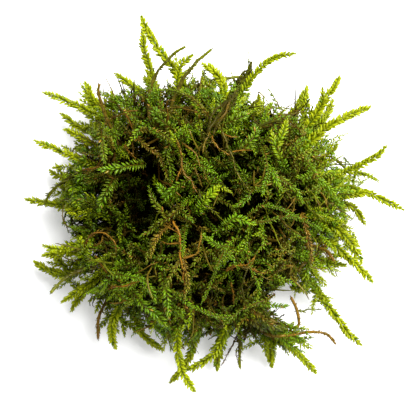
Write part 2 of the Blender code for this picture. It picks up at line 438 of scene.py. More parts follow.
@dataclass(frozen=True)
class LeafBlade:
    """One moss leaf: a thin, closed, boat-shaped blade on its base, pointing up +Z.

    Its back bulges towards +X, away from the stem that it will stand on.

    Attributes:
        name: The blade's name.
        length: Length from base to tip.
        width: Greatest width.
        rows: Place along the blade and share of the full width of each row across it.
        cup: How far the middle of the blade bulges back.
        thickness: Thickness along the midrib, or 0 for a plain flat front.
        curl: How far the tip bends back.
    """

    name: str
    length: float
    width: float
    rows: tuple[tuple[float, float], ...] = ((0.4, 1.0),)
    cup: float = 0.14 * MM
    thickness: float = 0.0
    curl: float = 0.0

    def build(self) -> bpy.types.Object:
        """Build the blade.

        Returns:
            An object whose points know their place across and along it.
        """
        shape = bmesh.new()
        across = shape.verts.layers.float.new("blade_across")
        along = shape.verts.layers.float.new("blade_along")

        def point(share: float, side: float, back: float) -> bmesh.types.BMVert:
            """Add a point.

            Args:
                share: Its place along the blade, from 0 to 1.
                side: Its place across the blade, from -1 to 1.
                back: Its depth behind the blade's front.

            Returns:
                The point.
            """
            bend = self.curl * share * share
            vertex = shape.verts.new((back + bend, side * self.width / 2, share * self.length))
            vertex[across] = side
            vertex[along] = share
            return vertex

        base = point(0.0, 0.0, 0.0)
        tip = point(1.0, 0.0, 0.0)
        lines = [[], [], [], []]
        for share, full in self.rows:
            lines[0].append(point(share, -full, 0.0))
            lines[1].append(point(share, 0.0, self.cup))
            lines[2].append(point(share, full, 0.0))
            if self.thickness:
                lines[3].append(point(share, 0.0, self.cup - self.thickness))
        if self.thickness:
            pairs = ((0, 1), (1, 2), (2, 3), (3, 0))
        else:
            pairs = ((0, 1), (1, 2), (2, 0))
        for first, second in pairs:
            left = [base, *lines[first], tip]
            right = [base, *lines[second], tip]
            for low in range(len(left) - 1):
                corners = [left[low], left[low + 1], right[low + 1], right[low]]
                shape.faces.new(list(dict.fromkeys(corners)))
        bmesh.ops.recalc_face_normals(shape, faces=shape.faces)
        mesh = bpy.data.meshes.new(self.name)
        shape.to_mesh(mesh)
        shape.free()
        return placed(self.name, mesh)


@dataclass
class Route:
    """The middle line of one shoot or stem, from root to tip, and how it is dressed.

    Attributes:
        points: Places that the line passes through.
        up: The side that the shoot's flat face looks to.
        age: Chart ages, spread evenly from root to tip.
        light: Chart lights, spread evenly from root to tip.
        cover: Shares of the leaves that are still on, spread evenly from root to tip.
        leaf: Leaf size as a share of a full leaf.
        girth: Stem radius.
        taper: Length over which the leaves shrink towards the tip.
        lean: Angle between leaf and stem along most of the shoot.
        swell: How much larger the leaves are at the root than near the tip, as a share.
        thinning: Share of the girth that the stem loses on its way to the tip.
    """

    points: list[Vector]
    up: Vector
    age: Sequence[float]
    light: Sequence[float] = (0.5,)
    cover: Sequence[float] = (1.0,)
    leaf: float = 1.0
    girth: float = 0.13 * MM
    taper: float = 2.2 * MM
    lean: float = math.radians(44)
    swell: float = 0.0
    thinning: float = 0.6

    def walked(self, step: float) -> list[Vector]:
        """Walk along a smooth curve through the route's own points.

        Args:
            step: Distance from one point to the next.

        Returns:
            The points, from root to tip.
        """
        before_root = self.points[0] * 2 - self.points[1]
        past_tip = self.points[-1] * 2 - self.points[-2]
        knots = [before_root, *self.points, past_tip]
        fine = []
        for before, here, after, beyond in zip(knots, knots[1:], knots[2:], knots[3:]):
            pieces = max(2, round((after - here).length / step * 2))
            for piece in range(pieces):
                share = piece / pieces
                square, cube = share * share, share**3
                fine.append(0.5 * (2 * here + (after - before) * share
                                   + (2 * before - 5 * here + 4 * after - beyond) * square
                                   + (3 * here - before - 3 * after + beyond) * cube))
        fine.append(self.points[-1].copy())
        lengths = [0.0]
        for here, after in zip(fine, fine[1:]):
            lengths.append(lengths[-1] + (after - here).length)
        count = max(2, round(lengths[-1] / step))
        walked, index = [], 0
        for stop in range(count + 1):
            reach = lengths[-1] * stop / count
            while index < len(fine) - 2 and lengths[index + 1] < reach:
                index += 1
            span = max(lengths[index + 1] - lengths[index], 1e-9)
            walked.append(fine[index].lerp(fine[index + 1], min((reach - lengths[index]) / span, 1.0)))
        return walked


class RouteBed:
    """Lays many routes into one mesh of lines whose points carry what the shoots are made from."""

    STEP = 0.8 * MM
    VALUES = ("travel", "leaf_size", "lean", "age", "light", "cover", "girth")
    VECTORS = ("heading", "side")

    def __init__(self, routes: Sequence[Route]) -> None:
        """Walk every route and note its points' values.

        Args:
            routes: The routes.
        """
        self.places: list[Vector] = []
        self.links: list[tuple[int, int]] = []
        self.values: dict[str, list] = {name: [] for name in (*self.VALUES, *self.VECTORS)}
        for route in routes:
            self._lay(route)

    def _lay(self, route: Route) -> None:
        """Add one route's points.

        Args:
            route: The route.
        """
        line = route.walked(self.STEP)
        first = len(self.places)
        travel = 0.0
        total = sum((after - here).length for here, after in zip(line, line[1:]))
        for index, place in enumerate(line):
            before, after = line[max(index - 1, 0)], line[min(index + 1, len(line) - 1)]
            heading = (after - before).normalized()
            if index:
                travel += (place - line[index - 1]).length
            share = travel / total
            to_tip = min((total - travel) / route.taper, 1.0)
            side = route.up.cross(heading)
            side = side.normalized() if side.length > 1e-4 else heading.orthogonal().normalized()
            self.places.append(place)
            record = self.values
            record["travel"].append(travel)
            shrink = 0.55 + 0.45 * to_tip
            record["leaf_size"].append(route.leaf * shrink * (1.0 + route.swell * (1.0 - share)))
            record["lean"].append(route.lean * (0.4 + 0.6 * to_tip))
            for name in ("age", "light", "cover"):
                record[name].append(self._spread(getattr(route, name), share))
            knobs = 1.0 + 0.45 * noise.noise(place * 900)
            record["girth"].append(route.girth * (1.0 - route.thinning * share) * knobs)
            record["heading"].append(heading)
            record["side"].append(side)
        self.links += [(index, index + 1) for index in range(first, len(self.places) - 1)]

    @staticmethod
    def _spread(values: Sequence[float], share: float) -> float:
        """Read evenly spread values at a place between them.

        Args:
            values: The values, from root to tip.
            share: The place, from 0 to 1.

        Returns:
            The value there.
        """
        place = share * (len(values) - 1)
        low = min(int(place), len(values) - 2) if len(values) > 1 else 0
        after = values[min(low + 1, len(values) - 1)]
        return values[low] + (after - values[low]) * (place - low)

    def build(self, name: str) -> bpy.types.Object:
        """Make the lines an object with their values as attributes.

        Args:
            name: The object's name.

        Returns:
            The object.
        """
        mesh = bpy.data.meshes.new(name)
        mesh.from_pydata(self.places, self.links, [])
        for value in self.VALUES:
            mesh.attributes.new(value, "FLOAT", "POINT").data.foreach_set("value", self.values[value])
        for value in self.VECTORS:
            flat = np.array(self.values[value], np.float32).ravel()
            mesh.attributes.new(value, "FLOAT_VECTOR", "POINT").data.foreach_set("vector", flat)
        return placed(name, mesh)


@dataclass(frozen=True)
class Dressing:
    """How leaves are set along a stem.

    Attributes:
        spacing: Distance along the stem from one leaf to the next.
        flatness: 0 for leaves all round the stem, 1 for leaves in two flat ranks.
        scatter: Random turn and lean of each leaf.
        sides: Sides of the stem's tube.
        stem_step: Length of each piece of the stem's tube.
        stem_age: Age added to the stem over its leaves.
        stem_light: Light of the stem as a share of its leaves'.
        seed: Seed of the leaves' own differences.
    """

    spacing: float
    flatness: float
    scatter: float
    sides: int
    stem_step: float
    stem_age: float
    stem_light: float
    seed: int


class ShootTree:
    """The Geometry Nodes tree that sets leaves and a stem along every line of a mesh."""

    DIVERGENCE = math.radians(146)
    INPUTS = (
        ("Geometry", "Geometry"),
        ("Blade", "Object"),
        ("Material", "Material"),
        ("Leaf Spacing", "Float"),
        ("Flatness", "Float"),
        ("Scatter", "Float"),
        ("Stem Sides", "Int"),
        ("Stem Step", "Float"),
        ("Stem Age", "Float"),
        ("Stem Light", "Float"),
        ("Seed", "Int"),
    )

    def __init__(self) -> None:
        """Build the tree."""
        self.tree = bpy.data.node_groups.new("moss_shoots", "GeometryNodeTree")
        self.keys = {}
        for name, kind in self.INPUTS:
            socket = self.tree.interface.new_socket(name, in_out="INPUT", socket_type=f"NodeSocket{kind}")
            self.keys[name] = socket.identifier
        self.tree.interface.new_socket("Geometry", in_out="OUTPUT", socket_type="NodeSocketGeometry")
        self.writer = TreeWriter(self.tree)
        self.given = self.writer.node("NodeGroupInput")
        lines = self.writer.node("GeometryNodeMeshToCurve", None, {"Mesh": self.given.outputs["Geometry"]})
        joined = self.writer.node("GeometryNodeJoinGeometry")
        for part in (self._stem(lines), self._leaves(lines)):
            self.tree.links.new(part.outputs[0], joined.inputs[0])
        dressed = self.writer.node(
            "GeometryNodeSetMaterial", None, {"Geometry": joined, "Material": self.given.outputs["Material"]})
        self.writer.node("NodeGroupOutput", None, {"Geometry": dressed})

    def _input(self, name: str) -> Signal:
        """Return one of the tree's own inputs."""
        return Signal(self.writer, self.given.outputs[name])

    def _value(self, name: str) -> Signal:
        """Return a value that the points carry."""
        return self._carried(name, "FLOAT")

    def _vector(self, name: str) -> Signal:
        """Return a vector that the points carry."""
        return self._carried(name, "FLOAT_VECTOR")

    def _carried(self, name: str, kind: str) -> Signal:
        """Return what the points carry under a name, of a kind of data."""
        return self.writer.signal("GeometryNodeInputNamedAttribute", "Attribute", {"data_type": kind},
                                  {"Name": name})

    def _stored(self, geometry: bpy.types.Node | bpy.types.NodeSocket, name: str,
                value: Signal) -> bpy.types.Node:
        """Store a number at every point of a geometry."""
        return self.writer.node("GeometryNodeStoreNamedAttribute", {"data_type": "FLOAT", "domain": "POINT"},
                                {"Geometry": geometry, "Name": name, "Value": value})

    def _random(self, low: float, high: float, step: int) -> Signal:
        """Return a random number for each leaf; step tells one draw from another."""
        seed = self._input("Seed") + step
        return self.writer.signal("FunctionNodeRandomValue", 1, {"data_type": "FLOAT"},
                                  {"Min_001": low, "Max_001": high, "Seed": seed})

    def _turned(self, rotation: bpy.types.Node | Signal, axis: tuple, angle: Signal) -> bpy.types.Node:
        """Return a rotation turned about one of its own axes."""
        turn = self.writer.node("FunctionNodeAxisAngleToRotation", None, {"Axis": axis, "Angle": angle})
        return self.writer.node("FunctionNodeRotateRotation", {"rotation_space": "LOCAL"},
                                {"Rotation": rotation, "Rotate By": turn})

    def _charted(self, geometry: bpy.types.Node, age: Signal, light: Signal) -> bpy.types.Node:
        """Store a place on the colour chart at every corner of a mesh."""
        place = self.writer.node("ShaderNodeCombineXYZ", None, {"X": age, "Y": light})
        return self.writer.node(
            "GeometryNodeStoreNamedAttribute",
            {"data_type": "FLOAT2", "domain": "CORNER"},
            {"Geometry": geometry, "Name": CHART, "Value": place},
        )

    def _stem(self, lines: bpy.types.Node) -> bpy.types.Node:
        """Sweep a tapering tube along the lines.

        Args:
            lines: The node that gives the lines.

        Returns:
            The node that gives the tubes.
        """
        path = self.writer.node("GeometryNodeResampleCurve", {"mode": "LENGTH"},
                                {"Curve": lines, "Length": self._input("Stem Step")})
        ring = self.writer.node("GeometryNodeCurvePrimitiveCircle", {"mode": "RADIUS"},
                                {"Resolution": self._input("Stem Sides"), "Radius": 1.0})
        round_place = self.writer.signal("GeometryNodeSplineParameter", "Factor")
        marked = self._stored(ring.outputs["Curve"], "round_place", round_place)
        tube = self.writer.node("GeometryNodeCurveToMesh", None,
                                {"Curve": path, "Profile Curve": marked, "Scale": self._value("girth"),
                                 "Fill Caps": True})
        age = (self._value("age") + self._input("Stem Age")).clamped(*AGE_LIMITS)
        # The chart's light is painted: a share of the line's painted light, rising a little with distance
        # from the root so that every face keeps some room on the chart.
        light = (self._value("light") * self._input("Stem Light")).clamped() * 0.7
        travel = self._value("travel") * (0.0025 / MM) + 0.02
        return self._charted(tube, age + self._value("round_place") * 0.012, light + travel)

    def _leaves(self, lines: bpy.types.Node) -> bpy.types.Node:
        """Stand a leaf on every step of the lines, each turned on from the last.

        Args:
            lines: The node that gives the lines.

        Returns:
            The node that gives the leaves.
        """
        seats = self.writer.node("GeometryNodeResampleCurve", {"mode": "LENGTH"},
                                 {"Curve": lines, "Length": self._input("Leaf Spacing")})
        marks = {
            "leaf_age": self._value("age") + self._random(-0.06, 0.06, 1)
            + (self._random(0.0, 1.0, 2) > 0.975) * 0.4,
            "leaf_light": self._value("light") * self._random(0.6, 1.45, 3),
        }
        for name, value in marks.items():
            seats = self._stored(seats, name, value)
        blade = self.writer.node("GeometryNodeObjectInfo", {"transform_space": "ORIGINAL"},
                                 {"Object": self.given.outputs["Blade"], "As Instance": True})
        scatter = self._input("Scatter")
        flatness = self._input("Flatness")
        count = (self._value("travel") / self._input("Leaf Spacing")).rounded()
        free_turn = count * self.DIVERGENCE + self._random(-1.0, 1.0, 4) * scatter
        turn = free_turn - (free_turn * 2.0).sine() * flatness * 0.5
        lean = self._value("lean") + self._random(-0.6, 0.6, 5) * scatter
        twist = turn.cosine() * flatness * (math.pi / 2) + self._random(-0.8, 0.8, 6) * scatter
        ahead = self.writer.node("FunctionNodeAlignRotationToVector", {"axis": "Z", "pivot_axis": "AUTO"},
                                 {"Vector": self._vector("heading")})
        rotation = self.writer.node("FunctionNodeAlignRotationToVector", {"axis": "X", "pivot_axis": "Z"},
                                    {"Rotation": ahead, "Vector": self._vector("side")})
        rotation = self._turned(rotation, (0.0, 0.0, 1.0), turn)
        rotation = self._turned(rotation, (0.0, 1.0, 0.0), lean)
        rotation = self._turned(rotation, (0.0, 0.0, 1.0), twist)
        size = self._value("leaf_size") * self._random(0.82, 1.14, 7)
        kept = self._value("cover") > self._random(0.0, 1.0, 8)
        leaves = self.writer.node("GeometryNodeInstanceOnPoints", None,
                                  {"Points": seats, "Selection": kept, "Instance": blade.outputs["Geometry"],
                                   "Rotation": rotation, "Scale": size})
        leaves = self.writer.node("GeometryNodeRealizeInstances", None, {"Geometry": leaves})
        age = self._value("leaf_age").clamped(*AGE_LIMITS) + self._value("blade_across") * 0.007
        along = self._value("blade_along")
        # The chart light is painted: each leaf's light is its shoot's painted light, varied at random, shaded
        # towards the leaf's base and lighter towards its tip.
        light = self._value("leaf_light").clamped() * (along * 0.66 + 0.28) + along * 0.012 + 0.03
        return self._charted(leaves, age, light)

    def grow(self, name: str, routes: Sequence[Route], blade: bpy.types.Object, dressing: Dressing,
             material: bpy.types.Material) -> bpy.types.Object:
        """Grow leaves and stems along routes.

        Args:
            name: The finished piece's name.
            routes: The middle lines.
            blade: The leaf.
            dressing: How the leaves are set.
            material: The piece's material.

        Returns:
            The piece, as a plain mesh at the origin.
        """
        lines = RouteBed(routes).build(f"{name}_lines")
        modifier = lines.modifiers.new("shoots", "NODES")
        modifier.node_group = self.tree
        settings = {
            "Blade": blade,
            "Material": material,
            "Leaf Spacing": dressing.spacing,
            "Flatness": dressing.flatness,
            "Scatter": dressing.scatter,
            "Stem Sides": dressing.sides,
            "Stem Step": dressing.stem_step,
            "Stem Age": dressing.stem_age,
            "Stem Light": dressing.stem_light,
            "Seed": dressing.seed,
        }
        for key, value in settings.items():
            modifier[self.keys[key]] = value
        graph = bpy.context.evaluated_depsgraph_get()
        mesh = bpy.data.meshes.new_from_object(lines.evaluated_get(graph), depsgraph=graph)
        lines.modifiers.remove(modifier)
        bpy.data.objects.remove(lines, do_unlink=True)
        mesh.name = name
        strip_attributes(mesh)
        mesh.materials.clear()
        mesh.materials.append(material)
        keep_in_height(mesh)
        return placed(name, mesh)


def strip_attributes(mesh: bpy.types.Mesh) -> None:
    """Remove the values that only the building of a mesh needed.

    Args:
        mesh: The mesh.
    """
    needless = [a.name for a in mesh.attributes if not (a.is_internal or a.is_required or a.name == CHART)]
    for name in needless:
        mesh.attributes.remove(mesh.attributes[name])
    mesh.uv_layers[CHART].active_render = True


def keep_in_height(mesh: bpy.types.Mesh, rest: float = 0.35 * MM, press: float = 0.3) -> None:
    """Press what reaches too low or too high back into the clump's height without folding it.

    Args:
        mesh: The mesh.
        rest: Height under which everything is pressed up, over the floor.
        press: Share of its height over the crown that a point keeps.
    """
    places = np.empty(len(mesh.vertices) * 3, np.float32)
    mesh.vertices.foreach_get("co", places)
    heights = places[2::3]
    low = heights < rest
    heights[low] = rest * np.exp((heights[low] - rest) / SINKING)
    crown = CAD_BOX[1][2] - CROWN_DEPTH
    high = heights > crown
    heights[high] = crown + (heights[high] - crown) * press
    mesh.vertices.foreach_set("co", places)
    mesh.update()


def dress(piece: bpy.types.Object, slot: str, *nodes: str) -> None:
    """Attach a finished piece to the clump's body, hide the CAD nodes that it stands for and log its faces.

    Args:
        piece: The piece.
        slot: A material slot's name; not used.
        nodes: The CAD nodes that it stands for.
    """
    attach(piece, BODY)
    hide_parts(*nodes)
    LOG.info("%s: %d faces", piece.name, len(piece.data.polygons))


# ---------------------------------------- standing pieces


@dataclass
class SolidLine:
    """The middle line and the widths of one standing solid, read from its rings.

    Attributes:
        node: The CAD node's name.
        points: Ring middles, from root to tip.
        radii: Half the greatest width of each ring.
    """

    node: str
    points: list[Vector] = field(default_factory=list)
    radii: list[float] = field(default_factory=list)

    def __post_init__(self) -> None:
        """Find the rings: the tip is the one point from which every further step is a whole ring."""
        shape = bmesh.new()
        shape.from_mesh(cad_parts[self.node].data)
        bmesh.ops.remove_doubles(shape, verts=shape.verts, dist=0.002 * MM)
        for start in shape.verts:
            rings = self._rings(start)
            if len(rings) > 3 and len({len(ring) for ring in rings[1:]}) == 1:
                break
        for ring in reversed(rings):
            middle = sum((vertex.co for vertex in ring), Vector()) / len(ring)
            self.points.append(middle)
            self.radii.append(max((vertex.co - middle).length for vertex in ring))
        shape.free()

    @staticmethod
    def _rings(start: bmesh.types.BMVert) -> list[list[bmesh.types.BMVert]]:
        """Sort a solid's points by how many edges away from a start they lie.

        Args:
            start: The first point.

        Returns:
            The points one, two, three and more edges away, in order.
        """
        rings, seen = [[start]], {start}
        while rings[-1]:
            step = []
            for vertex in rings[-1]:
                for edge in vertex.link_edges:
                    other = edge.other_vert(vertex)
                    if other not in seen:
                        seen.add(other)
                        step.append(other)
            rings.append(step)
        return rings[:-1]

    def rooted(self, depth: float) -> list[Vector]:
        """Return the line, carried on past its root into the tangle."""
        inward = (self.points[0] - self.points[1]).normalized()
        return [self.points[0] + inward * depth, *self.points]


@dataclass
class StandingPieces:
    """The shoots, stems, twigs and the bundle that stand out of the tangle, each its own piece.

    Attributes:
        tree: The tree that dresses them.
        seed: Seed of their small differences.
        root_depth: How far each is carried on into the tangle.
        waver: How far a line wavers to either side.
    """

    tree: ShootTree
    seed: int = 11
    root_depth: float = 4.0 * MM
    waver: float = 0.22 * MM

    BLADE = LeafBlade("standing_leaf", length=1.6 * MM, width=0.66 * MM,
                      rows=((0.2, 0.75), (0.5, 1.0), (0.78, 0.58)),
                      cup=0.11 * MM, thickness=0.06 * MM, curl=0.14 * MM)
    SCALE = LeafBlade("stem_scale", length=1.0 * MM, width=0.42 * MM, cup=0.08 * MM, curl=0.1 * MM)
    # Stems darkened with painted shade: they get less chart light.
    SHADED_NODES = ("stem_west_dark", "twig_north_west")
    STRANDS = 17
    WHOLE_STRANDS = 6
    STRAND_TURN = 0.55

    def build(self, leaf: bpy.types.Material, stem: bpy.types.Material) -> None:
        """Build every standing piece.

        Args:
            leaf: The leaves' material.
            stem: The old stems' material.
        """
        blade = self.BLADE.build()
        scale = self.SCALE.build()
        for index, node in enumerate(sorted(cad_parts)):
            random = Random(self.seed * 1000 + index)
            if node.startswith("shoot_"):
                self._leafy(node, blade, leaf, random)
            elif node.startswith("stem_bundle"):
                self._bundle(node, scale, stem, random)
            elif node.startswith("stem_"):
                self._bare(node, scale, stem, Habit.BARE, random)
            elif node.startswith("twig_"):
                self._bare(node, scale, stem, Habit.TWIG, random)
        for helper in (blade, scale):
            bpy.data.objects.remove(helper, do_unlink=True)

    def _wavered(self, points: list[Vector], random: Random) -> list[Vector]:
        """Make a line waver a little, most towards its free end.

        Args:
            points: The line, root first.
            random: The source of chance.

        Returns:
            The wavering line.
        """
        count = len(points) - 1
        moved = []
        for index, point in enumerate(points):
            share = index / count
            sway = jitter(random)
            moved.append(point + sway * self.waver * (0.3 + 0.7 * share) * (index < count))
        return moved

    def _leafy(self, node: str, blade: bpy.types.Object, material: bpy.types.Material,
               random: Random) -> None:
        """Build one leafy shoot.

        Args:
            node: The CAD node that it stands for.
            blade: The leaf.
            material: The leaves' material.
            random: The source of chance.
        """
        line = SolidLine(node)
        tilt = Vector((random.uniform(-0.25, 0.25), random.uniform(-0.25, 0.25), 1.0)).normalized()
        fresh = random.uniform(0.02, 0.12)
        ages = (fresh + 0.35, fresh + 0.12, fresh, fresh)
        # Painted shade: the chart light falls from the tip towards the root, where the shoot goes into the
        # tangle.
        route = Route(self._wavered(line.rooted(self.root_depth), random), tilt, ages,
                      light=(0.45, random.uniform(0.6, 0.8)), cover=(0.6, 0.95, 1.0, 1.0),
                      leaf=random.uniform(0.84, 1.0), girth=0.19 * MM,
                      swell=random.uniform(0.15, 0.35), thinning=0.5)
        dressing = Dressing(spacing=0.165 * MM, flatness=random.uniform(0.75, 0.95), scatter=0.3,
                            sides=6, stem_step=0.5 * MM, stem_age=0.3, stem_light=0.4,
                            seed=random.randrange(10**6))
        piece = self.tree.grow(f"{node}_moss", [route], blade, dressing, material)
        dress(piece, "leafy_moss", node)

    def _bare(self, node: str, scale: bpy.types.Object, material: bpy.types.Material, habit: Habit,
              random: Random) -> None:
        """Build one bare stem or dry twig, with the scales of its old leaves.

        Args:
            node: The CAD node that it stands for.
            scale: The leaf scale.
            material: The old stems' material.
            habit: Whether it is a bare stem or a twig.
            random: The source of chance.
        """
        line = SolidLine(node)
        dark = node in self.SHADED_NODES
        ages = (0.45, 0.3, 0.05) if habit is Habit.BARE else (0.45, 0.6 if dark else 0.68)
        # Painted shade: the shaded stems get less chart light, and every stem's light falls towards its root.
        light = random.uniform(0.45, 0.55) if dark else random.uniform(0.8, 0.95)
        route = Route(self._wavered(line.rooted(self.root_depth), random), Vector((0, 0, 1)), ages,
                      light=(light * 0.6, light), cover=(1.0, 0.9), leaf=random.uniform(1.2, 1.5),
                      girth=max(line.radii) * 1.25, lean=math.radians(38), thinning=0.3)
        dressing = Dressing(spacing=0.26 * MM, flatness=0.2, scatter=0.8, sides=7,
                            stem_step=0.45 * MM, stem_age=0.1, stem_light=0.85,
                            seed=random.randrange(10**6))
        piece = self.tree.grow(f"{node}_bark", [route], scale, dressing, material)
        dress(piece, "bare_stem" if habit is Habit.BARE else "dry_twig", node)

    def _bundle(self, node: str, scale: bpy.types.Object, material: bpy.types.Material,
                random: Random) -> None:
        """Build the bundle of old stems, twisted round one another.

        Args:
            node: The CAD node that it stands for.
            scale: The leaf scale.
            material: The old stems' material.
            random: The source of chance.
        """
        line = SolidLine(node)
        middle = line.rooted(self.root_depth)
        radii = [line.radii[0], *line.radii]
        routes = []
        for strand in range(self.STRANDS):
            start = math.tau * strand / self.STRANDS
            ring = 0.0 if strand == 0 else random.uniform(0.4, 0.95)
            points = []
            for index, (place, radius) in enumerate(zip(middle, radii)):
                ahead = middle[min(index + 1, len(middle) - 1)] - middle[max(index - 1, 0)]
                side = ahead.cross(Vector((0, 0, 1))).normalized()
                rise = side.cross(ahead).normalized()
                turn = start + index * self.STRAND_TURN
                offset = side * math.cos(turn) + rise * math.sin(turn)
                points.append(place + offset * radius * ring)
            whole = strand < self.WHOLE_STRANDS
            keep = len(points) if whole else random.randrange(len(points) - 4, len(points))
            # Painted shade: the strands get little chart light, least at their roots.
            routes.append(Route(points[:keep], Vector((0, 0, 1)), (0.3, random.uniform(0.05, 0.4)),
                                light=(0.25, random.uniform(0.25, 0.7)), leaf=1.5,
                                girth=random.uniform(0.36, 0.5) * MM,
                                lean=math.radians(34), thinning=0.35))
        dressing = Dressing(spacing=0.3 * MM, flatness=0.1, scatter=0.7, sides=6,
                            stem_step=0.5 * MM, stem_age=0.1, stem_light=0.7,
                            seed=random.randrange(10**6))
        piece = self.tree.grow(f"{node}_bark", routes, scale, dressing, material)
        dress(piece, "stem_bundle", node)


# ---------------------------------------- the tangle


class MatGuide:
    """The matted body's outer surface, smoothed of its sockets, for shoots to follow."""

    ROUND_STEPS = 72
    UP_STEPS = 36
    MIDDLE_SHARE = 0.3
    OUTSIDE = 0.1
    OVERHEAD = 0.2

    def __init__(self, node: str) -> None:
        """Feel the solid from outside in every direction and keep a smooth skin of it.

        Args:
            node: The CAD node of the matted body.
        """
        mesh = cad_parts[node].data
        corners = [vertex.co for vertex in mesh.vertices]
        solid = BVHTree.FromPolygons(corners, [tuple(face.vertices) for face in mesh.polygons])
        low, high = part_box(node)
        middle_height = low[2] + (high[2] - low[2]) * self.MIDDLE_SHARE
        self.middle = Vector(((low[0] + high[0]) / 2, (low[1] + high[1]) / 2, middle_height))
        reach = np.zeros((self.UP_STEPS + 1, self.ROUND_STEPS))
        for row in range(self.UP_STEPS + 1):
            for column in range(self.ROUND_STEPS):
                direction = self._direction(row, column)
                start = self.middle + direction * self.OUTSIDE
                hit = solid.ray_cast(start, -direction)
                reach[row, column] = (hit[0] - self.middle).length
        reach = self._smoothed(reach)
        places = [self.middle + self._direction(row, column) * reach[row, column]
                  for row in range(self.UP_STEPS + 1) for column in range(self.ROUND_STEPS)]
        faces = []
        for row in range(self.UP_STEPS):
            for column in range(self.ROUND_STEPS):
                after = (column + 1) % self.ROUND_STEPS
                here, above = row * self.ROUND_STEPS, (row + 1) * self.ROUND_STEPS
                faces.append((here + column, here + after, above + after, above + column))
        self.places = places
        self.faces = faces
        self.skin = BVHTree.FromPolygons(places, faces)

    def _direction(self, row: int, column: int) -> Vector:
        """Point from the middle to one place of the skin.

        Args:
            row: The place's row, from the bottom.
            column: Its column, anticlockwise from the east.

        Returns:
            The direction, of length 1.
        """
        tilt = math.pi * (row / self.UP_STEPS - 0.5)
        turn = math.tau * column / self.ROUND_STEPS
        return Vector((math.cos(tilt) * math.cos(turn), math.cos(tilt) * math.sin(turn), math.sin(tilt)))

    @staticmethod
    def _smoothed(reach: np.ndarray) -> np.ndarray:
        """Take the middle value of each place's neighbours, which closes the sockets.

        Args:
            reach: Distance from the middle to the skin, by row and column.

        Returns:
            The smoothed distances.
        """
        turned = [np.roll(reach, shift, 1) for shift in (-1, 0, 1)]
        padded = [np.vstack((rows[:1], rows, rows[-1:])) for rows in turned]
        stack = [rows[shift: shift + reach.shape[0]] for rows in padded for shift in range(3)]
        return np.median(np.stack(stack), axis=0)

    def nearest(self, place: Vector) -> tuple[Vector, float]:
        """Find the skin beside a place.

        Args:
            place: The place.

        Returns:
            The outward direction there and how far outside the skin the place lies.
        """
        spot, normal, _, _ = self.skin.find_nearest(place)
        if normal.dot(spot - self.middle) < 0:
            normal = -normal
        away = place - spot
        depth = away.dot(normal)
        size = away.length if depth > 0 else -away.length
        return normal, size

    def height(self, x: float, y: float) -> float:
        """Return the skin's height above a place of the floor."""
        spot = self.skin.ray_cast(Vector((x, y, self.OVERHEAD)), Vector((0, 0, -1)))[0]
        return spot.z if spot else self.skin.find_nearest(Vector((x, y, 8 * MM)))[0].z


@dataclass(frozen=True)
class Patch:
    """A soft-edged part of the clump, in millimetres, that differs from the rest.

    Attributes:
        name: What it is.
        centre: Its middle.
        radii: Its reach to either side and to front and back.
        age: Age added in its middle.
        light: Share of the light left in its middle.
    """

    name: str
    centre: tuple[float, float]
    radii: tuple[float, float]
    age: float = 0.0
    light: float = 1.0

    def weight(self, place: Vector) -> float:
        """Weigh how fully a place lies in the patch.

        Args:
            place: The place.

        Returns:
            The weight, from 0 to 1.
        """
        away = ((place.x / MM - self.centre[0]) / self.radii[0]) ** 2
        away += ((place.y / MM - self.centre[1]) / self.radii[1]) ** 2
        return math.exp(-away * away * 0.7)


# A patch's light is painted: under 1 it paints shade into the hollows, pits, slot, seams, the knot and the
# brown patches, over 1 it paints light on the sunny, lit and vivid east patches. A patch's age is the moss's
# own colour.
PATCHES = (
    Patch("big hollow", (-15.0, 3.0), (6.0, 13.0), -0.05, 0.03),
    Patch("big hollow's west side", (-24.0, 1.0), (8.5, 8.5), 0.0, 0.35),
    Patch("big hollow's south-west side", (-22.0, -6.0), (8.0, 4.5), 0.0, 0.4),
    Patch("south hollow", (3.0, -19.5), (6.0, 6.0), 0.0, 0.4),
    Patch("pit in the middle", (-1.5, -3.5), (3.0, 2.2), 0.0, 0.1),
    Patch("pit east of the middle", (3.5, 7.5), (4.0, 6.0), 0.0, 0.3),
    Patch("east pit", (15.5, 9.0), (3.0, 3.0), 0.0, 0.3),
    Patch("slot under the long stems", (12.0, -1.0), (4.5, 1.8), 0.0, 0.25),
    Patch("black knot", (11.5, -29.0), (6.0, 2.5), 0.2, 0.12),
    Patch("dark seam in the south-west", (-22.0, -24.5), (8.0, 3.5), 0.15, 0.45),
    Patch("dark seam in the west", (-30.0, -15.5), (4.0, 3.5), 0.15, 0.45),
    Patch("vivid middle", (6.0, 12.0), (11.0, 16.0), -0.08, 1.0),
    Patch("vivid east", (23.0, -2.0), (10.0, 10.0), -0.08, 1.1),
    Patch("sunny north", (3.5, 18.5), (8.0, 5.0), -0.04, 1.5),
    Patch("brown north-west", (-21.0, 21.0), (12.0, 7.0), 0.16, 0.75),
    Patch("brown west", (-29.0, 8.0), (6.0, 9.0), 0.12, 0.9),
    Patch("brown east", (18.0, 11.5), (6.0, 5.0), 0.1, 0.95),
    Patch("lit middle south", (-7.0, -14.0), (6.0, 5.0), 0.0, 1.5),
    Patch("lit south-east", (15.0, -17.0), (6.0, 5.0), 0.0, 1.4),
    Patch("brown north-east", (17.5, 19.0), (6.0, 4.0), 0.08, 0.75),
    Patch("brown south", (-3.0, -30.0), (13.0, 6.5), 0.12, 0.9),
    Patch("brown south-east", (20.0, -12.0), (8.0, 6.0), 0.06, 0.95),
)


@dataclass(frozen=True)
class Clearing:
    """A place, in millimetres, that the tangle leaves open down to the floor."""

    centre: tuple[float, float]
    radii: tuple[float, float]

    def holds(self, place: Vector) -> bool:
        """Return whether a place lies inside."""
        away = ((place.x / MM - self.centre[0]) / self.radii[0]) ** 2
        return away + ((place.y / MM - self.centre[1]) / self.radii[1]) ** 2 < 1.0


